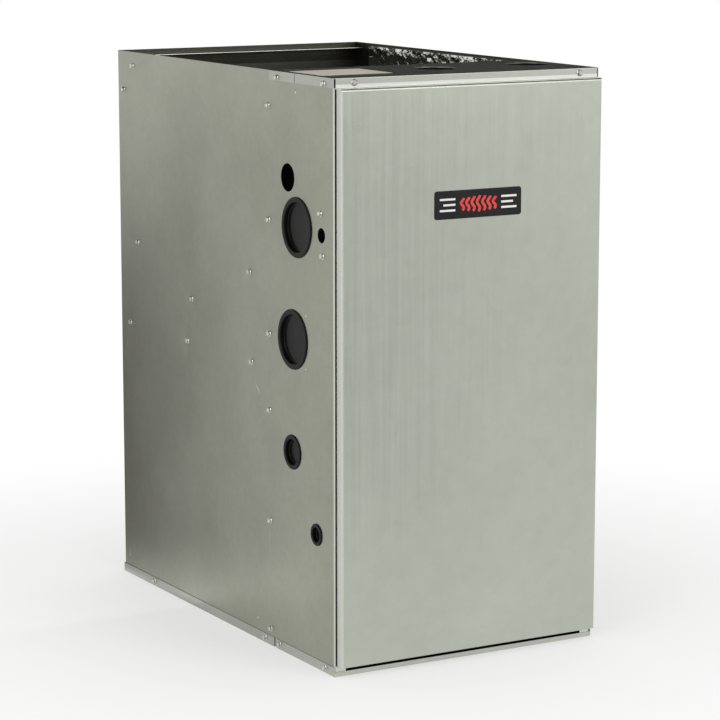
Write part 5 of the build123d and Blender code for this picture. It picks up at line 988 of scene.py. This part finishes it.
ground = low.y + BADGE_GROUND
waves, bars = bmesh.new(), bmesh.new()
for number in range(WAVES):
    from_middle_wave = number - WAVES // 2
    tall = WAVE_TALL - WAVE_DROP * abs(from_middle_wave)
    line = []
    for step in range(WAVE_STEPS + 1):
        rise = step / WAVE_STEPS
        swing = WAVE_SWING * math.sin(math.tau * rise * WAVE_TURNS)
        line.append((middle.x + from_middle_wave * WAVE_PITCH + swing, middle.z - tall + 2 * tall * rise))
    ribbon(waves, line, WAVE_WIDE, ground, low.y)
for side in (-1, 1):
    for number, length in enumerate(BARS):
        z = middle.z + (number - 1) * BAR_PITCH
        ends = sorted((middle.x + side * BAR_START, middle.x + side * (BAR_START + length)))
        ribbon(bars, [(x, z) for x in ends], BAR_WIDE, ground, low.y)
# Hot stamped foil: opaque, flat and a little glossier than the plate.
red = surface("red_stamping", ("#d9362f", "#e2443b"), 20, (0.22, 0.32), 0.5, 0.004)
pale = surface("white_stamping", ("#e6e6e2", "#efefec"), 20, (0.22, 0.32), 0.5, 0.004)
piece("badge_waves", closed("badge_waves", waves), "door", "badge_plastic", material=red)
piece("badge_bars", closed("badge_bars", bars), "door", "badge_plastic", material=pale)
print("badge", [round(2 * v / MM, 1) for v in half], "mm,", WAVES, "waves,", 2 * len(BARS), "bars")

# %% [markdown]
# # Secondary coil
# Flue gas gives up its last heat in a coil of stainless tubes behind thin aluminium fins. A press corrugates
# each fin and stacks them on the tubes about three millimetres apart. One fin is made here, by folding every
# other column of a grid forward, and is set along the coil between the two plates that hold the stack.

# %% Corrugated fins
FIN = {
    "Width": 377.0 * MM, "Height": 99.6 * MM, "Depth": 1.4 * MM, "Sheet": 0.25 * MM, "Pitch": 3.1 * MM,
    "Columns": 25, "Count": 107,
}

FIN_START = 0.8 * MM
PLATE, PLATE_EDGE = 1.0 * MM, 0.2 * MM

tree, given, end = recipe("corrugated_fins", FIN)
flat = add(tree, "MeshGrid", given["Width"], given["Height"], given["Columns"], 2)
column = add(tree, "DIVIDE", add(tree, "InputIndex"), 2.0)
column = add(tree, "FLOOR", column)
fold = add(tree, "MODULO", column, 2.0)
fold = add(tree, "MULTIPLY", fold, given["Depth"])
spot = add(tree, "SeparateXYZ", add(tree, "InputPosition")).outputs
stood = add(tree, "CombineXYZ", spot["X"], fold, spot["Y"])
stood = add(tree, "SetPosition", flat, Position=stood)
low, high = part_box("coil_fins")
first = Vector(((low.x + high.x) / 2, low.y + FIN_START, (low.z + high.z) / 2))
end(given["Geometry"], row_of(tree, given, solid_sheet(tree, stood, given["Sheet"]), first))

shape = bmesh.new()
for side in (low.x, high.x - PLATE):
    brick(shape, (side, low.y, low.z), (side + PLATE, high.y, high.z), PLATE_EDGE)
stack = grown("coil_fin_stack", tree, closed("coil_plates", shape), FIN, "fin_aluminium")
piece("coil_fin_stack", stack, "cabinet", "fin_aluminium", "coil_fins")
print(FIN["Count"], "fins,", len(stack.polygons), "faces")

# %% [markdown]
# # Blower wheel
# The air is moved by a squirrel cage wheel. Its blades are rolled to a forward curve from thin aluminised
# strip and are clinched between two rings and a centre disc, which sits on the motor's shaft. One curved
# blade is made and turned round the shaft. The rings and the disc are turned from their sections.

# %% Forward curved blades
WHEEL = {
    "Length": 198.0 * MM, "Inner Radius": 107.0 * MM, "Reach": 18.5 * MM, "Curve": 11.0 * MM, "Sheet": 0.8 * MM,
    "Count": 42,
}
BLADE_LEAN = 5.0 * MM
BLADE_STEPS = 7
RING = ((-9.5, -3.0), (-9.5, -0.6), (-8.9, 0.0), (-1.0, 0.0), (0.0, -1.0), (0.0, -3.0), (-9.5, -3.0))
DISC = (
    (0, 0.0), (16, 0.0), (16, 24.0), (19, 26.0), (60, 26.0), (64, 23.4), (100, 23.4), (107.5, 26.0),
    (107.5, 28.0), (99.6, 25.0), (64.5, 25.0), (60.4, 28.0), (0, 28.0),
)
DISC_START = -46.0 * MM
WHEEL_SIDES = 96

low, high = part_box("blower_wheel")
middle = (low + high) / 2
rim = high.z - middle.z
tree, given, end = recipe("squirrel_cage", WHEEL)
strip = add(tree, "MeshGrid", given["Length"], 1.0, 2, BLADE_STEPS)
spot = add(tree, "SeparateXYZ", add(tree, "InputPosition")).outputs
along = add(tree, "ADD", spot["Y"], 0.5)
reach = add(tree, "MULTIPLY_ADD", along, given["Reach"], given["Inner Radius"])
curve = add(tree, "POWER", along, 2.0)
curve = add(tree, "MULTIPLY", curve, given["Curve"])
lean = add(tree, "SUBTRACT", BLADE_LEAN, curve)
curved = add(tree, "CombineXYZ", spot["X"], lean, reach)
blade = solid_sheet(tree, add(tree, "SetPosition", strip, Position=curved), given["Sheet"])
end(given["Geometry"], ring_of(tree, given, blade, middle, (1, 0, 0)))

shape = bmesh.new()
for way, face in ((-1, low.x), (1, high.x)):
    section = [(rim + r * MM, d * MM) for r, d in RING]
    turned(shape, section, (face, middle.y, middle.z), (way, 0, 0), WHEEL_SIDES)
turned(shape, [metres(pair) for pair in DISC], middle + Vector((DISC_START, 0, 0)), (1, 0, 0), WHEEL_SIDES)
bmesh.ops.remove_doubles(shape, verts=shape.verts, dist=1e-6)
wheel = grown("squirrel_cage", tree, closed("wheel_rings", shape), WHEEL, "aluminised_tube")
piece("squirrel_cage", wheel, "blower_wheel", "aluminised_tube", "blower_wheel")
print(WHEEL["Count"], "blades,", len(wheel.polygons), "faces")

# %% [markdown]
# # Control board
# The furnace's controller is a green board on spacers, with relays for the motors, nylon headers for the
# harness, a strip of terminals and two pairs of capacitors. Such a board is soldered by machine from moulded
# parts. Each part is built at its own place on the CAD board, and its size tells what it is.

# %% Board and its parts
PIN_PITCH = 5.0 * MM
LEG_PITCH = 2.54 * MM
PIN_INSET = 3.0 * MM
RIBS = 7
THIN = 1.2 * MM
CAN = ((0, 0), (1, 0), (1, 0.12), (0.9, 0.15), (1, 0.18), (1, 0.95), (0.93, 1), (0.8, 1), (0.76, 0.97))
SPACER = ((0, 0), (2.6, 0), (3, 0.4))
parts = {kind: bmesh.new() for kind in ("board", "nylon", "case", "tin", "can")}


def pins(low, high, pitch):
    """The places of pins along a part's middle, a pitch apart."""
    count = int((high.x - low.x - PIN_INSET) / pitch)
    return [(low.x + high.x) / 2 + (i - count / 2) * pitch for i in range(count + 1)]


def header(low, high):
    """A nylon header: a base and two walls round a row of tinned pins."""
    tall = high.y - low.y
    brick(parts["nylon"], (low.x, high.y - 0.4 * tall, low.z), high, 0.3 * MM)
    for z in (low.z, high.z - THIN):
        brick(parts["nylon"], (low.x, low.y, z), (high.x, high.y - 0.3 * tall, z + THIN), 0.3 * MM)
    corner = Vector((0.9, 0, 0.4)) * MM
    z = (low.z + high.z) / 2
    for x in pins(low, high, PIN_PITCH):
        ends = Vector((x, low.y + 0.1 * tall, z)), Vector((x, high.y, z))
        brick(parts["tin"], ends[0] - corner, ends[1] + corner, 0.1 * MM)


def relay(low, high):
    """A sealed case on a slightly wider base."""
    inset = Vector((0.5, 0, 0.5)) * MM
    brick(parts["case"], (low.x, high.y - 2.5 * MM, low.z), high, 0.4 * MM)
    brick(parts["case"], low + inset, high - inset, 1.1 * MM)


def chip(low, high):
    """A long package in its socket, with a row of legs on each side."""
    inset = Vector((0.6, 0, 1.6)) * MM
    brick(parts["case"], low + inset, high - inset, 0.5 * MM)
    for x in pins(low, high, LEG_PITCH):
        for z in (low.z, high.z - 2 * MM):
            brick(parts["tin"], (x - 0.5 * MM, low.y + 4 * MM, z), (x + 0.5 * MM, high.y, z + 2 * MM), 0.1 * MM)


def cooler(low, high):
    """A heat sink: a base with upright ribs."""
    brick(parts["can"], (low.x, high.y - 3 * MM, low.z), high, 0.3 * MM)
    for i in range(RIBS):
        x = low.x + (high.x - low.x - THIN) * i / (RIBS - 1)
        brick(parts["can"], (x, low.y, low.z), (x + THIN, high.y - 2 * MM, high.z), 0.3 * MM)


def capacitors(low, high):
    """Two cans side by side, with a rolled groove near the foot and a rounded shoulder."""
    radius, tall = (high.x - low.x) / 2, high.y - low.y
    section = [(r * radius, d * tall) for r, d in (*CAN, (0, 0.97))]
    for z in (low.z + radius, high.z - radius):
        turned(parts["case"], section, ((low.x + high.x) / 2, high.y, z), (0, -1, 0), 32)


def spacer(low, high):
    """A six sided nylon spacer."""
    section = [metres(pair) for pair in SPACER] + [(3 * MM, high.y - low.y), (0, high.y - low.y)]
    turned(parts["nylon"], section, ((low.x + high.x) / 2, low.y, (low.z + high.z) / 2), (0, 1, 0), 6)


for corners in solids("control_board"):
    low, high = extent(corners)
    wide, tall, high_up = [v / MM for v in high - low]
    if tall < 2:
        brick(parts["board"], low, high, 0.2 * MM)
    elif wide < 8:
        spacer(low, high)
    elif wide > 5 * high_up:
        header(low, high)
    elif wide > 3 * high_up:
        chip(low, high)
    elif tall > 20:
        capacitors(low, high)
    elif abs(wide - high_up) < 1:
        cooler(low, high)
    else:
        relay(low, high)
# Headers and spacers are nylon in its own ivory colour. Pins are tinned brass: pale, soft and bright.
nylon = surface("natural_nylon", ("#d8d5c8", "#e2dfd4"), 10, (0.36, 0.48), 0.4, 0.01)
looks = {
    "board": finish["board"], "nylon": nylon, "case": finish["knob_plastic"],
    "tin": surface("tinned_brass", ("#c9c6bd", "#d6d4cc"), 3, (0.18, 0.30), 0.3, 0.004, **METAL),
    "can": finish["fin_aluminium"],
}
for kind, shape in parts.items():
    nodes = ["control_board"] if kind == "board" else []
    mesh = closed("board_" + kind, shape)
    piece("board_" + kind, mesh, "cabinet", "board", *nodes, material=looks[kind])
    print("board", kind, len(mesh.polygons), "faces")

# %% [markdown]
# # Transformer
# A small transformer makes the low voltage for the controls. Its core is a stack of stamped laminations,
# varnished black, and a taped winding goes through the window. The stack is grown from one lamination, and
# four rivets hold it.

# %% Laminated core and winding
TAPE_INSET, TAPE_SOFT = 9.0 * MM, 3.0 * MM
RIVET = ((0, 0), (3.0, 0), (2.4, 0.9), (0, 1.0))
RIVET_INSET = 6.0 * MM
RIVET_SEAT = 1.0 * MM

low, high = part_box("transformer")
corners = [corner.co for corner in frame["nodes"]["transformer"].data.vertices]
core_low, core_high = extent([c for c in corners if min(c.x - low.x, high.x - c.x) < 0.05 * MM])
CORE = {"Width": high.x - low.x, "Height": core_high.z - core_low.z, "Sheet": 1.0 * MM, "Pitch": 1.25 * MM}
CORE["Count"] = round((core_high.y - core_low.y - CORE["Sheet"]) / CORE["Pitch"])
tree, given, end = recipe("laminated_core", CORE)
size = add(tree, "CombineXYZ", given["Width"], given["Sheet"], given["Height"])
first = (core_low + core_high) / 2
first.y = core_low.y + CORE["Sheet"] / 2
end(given["Geometry"], row_of(tree, given, add(tree, "MeshCube", size), first))
shape = bmesh.new()
for x in (low.x + RIVET_INSET, high.x - RIVET_INSET):
    for z in (core_low.z + RIVET_INSET, core_high.z - RIVET_INSET):
        turned(shape, [metres(pair) for pair in RIVET], (x, core_low.y + RIVET_SEAT, z), (0, -1, 0), 24)
core = grown("transformer_core", tree, closed("core_rivets", shape), CORE, "motor_paint")
piece("transformer_core", core, "cabinet", "motor_paint", "transformer")
winding = bmesh.new()
ends = (core_low.x + TAPE_INSET, low.y, low.z), (core_high.x - TAPE_INSET, high.y, high.z)
brick(winding, *ends, TAPE_SOFT)
# Polyester tape wound over the copper: amber, with a step at each turn.
tape = surface("polyester_tape", ("#c9a94e", "#d6b75c"), 12, (0.34, 0.46), 3.0, 0.05, (60, 1, 1))
piece("transformer_winding", closed("transformer_winding", winding), "cabinet", "motor_paint", material=tape)
print(CORE["Count"], "laminations,", [round(v / MM, 1) for v in core_high - core_low], "mm core")

# %% [markdown]
# # Inducer motor
# The motor that draws the flue gas through is the first thing one sees behind the door. Its shell is a ring
# of laminations between two cast end bells, which four long screws hold together. The bells are turned from
# one section, and the laminations' cooling ribs are grown round the shell. The bore at the back takes the
# shaft.

# %% End bells and cooling ribs
RIB = {"Reach": 41.3 * MM, "Length": 20.0 * MM, "Thickness": 1.6 * MM, "Height": 1.4 * MM, "Count": 48}
RIB_MIDDLE = 26.0 * MM
BORE, BORE_PLAY = 4.3, 0.6
BACK_BELL = ((BORE, 0), (36, 0), (-1.5, 1.5), (0, 3), (0, 13), (41, 14), (41, 38))
FRONT_BELL = ((0, 39), (0, 46), (-1, 49), (-5, 52.5), (26, 54), (24, 55.4))
CAP = ((13, -0.3), (12, 0), (9, 0), (8, -1.6), (0, -1.6))
BOLT = ((0, 0), (3.6, 0), (3.6, 5), (3, 5.6), (0, 5.6))
BOLT_CIRCLE, BOLT_SEAT = 33.0 * MM, 50.0 * MM

low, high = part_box("inducer_motor")
middle = (low + high) / 2
tree, given, end = recipe("motor_ribs", RIB)
size = add(tree, "CombineXYZ", given["Thickness"], given["Length"], given["Height"])
lift = add(tree, "CombineXYZ", Z=given["Reach"])
bar = add(tree, "Transform", add(tree, "MeshCube", size), lift)
ribs = ring_of(tree, given, bar, (middle.x, high.y - RIB_MIDDLE, middle.z), (0, 1, 0))
end(given["Geometry"], ribs)

shape = bmesh.new()
radius, reach = (high.z - low.z) / 2 / MM, (high.y - low.y) / MM
bore = (high.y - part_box("inducer_shaft")[0].y) / MM + BORE_PLAY
section = [(0, bore), (BORE, bore)]
# A radius of nothing or less is counted from the shell's own radius, and the cap's depths from its end.
section += [(r if r > 0 else radius + r, d) for r, d in (*BACK_BELL, *FRONT_BELL)]
section += [(r, reach + d) for r, d in CAP]
turned(shape, [metres(pair) for pair in section], (middle.x, high.y, middle.z), (0, -1, 0), 96)
for quarter in range(4):
    away = math.pi * (quarter / 2 + 1 / 4)
    seat = Vector((math.cos(away) * BOLT_CIRCLE, high.y - middle.y - BOLT_SEAT, math.sin(away) * BOLT_CIRCLE))
    turned(shape, [metres(pair) for pair in BOLT], middle + seat, (0, -1, 0), 6)
motor = grown("ribbed_motor", tree, closed("motor_bells", shape), RIB, "motor_paint")
piece("ribbed_motor", motor, "cabinet", "motor_paint", "inducer_motor")
print(RIB["Count"], "ribs,", len(motor.polygons), "faces, bore", round(bore, 1), "mm")
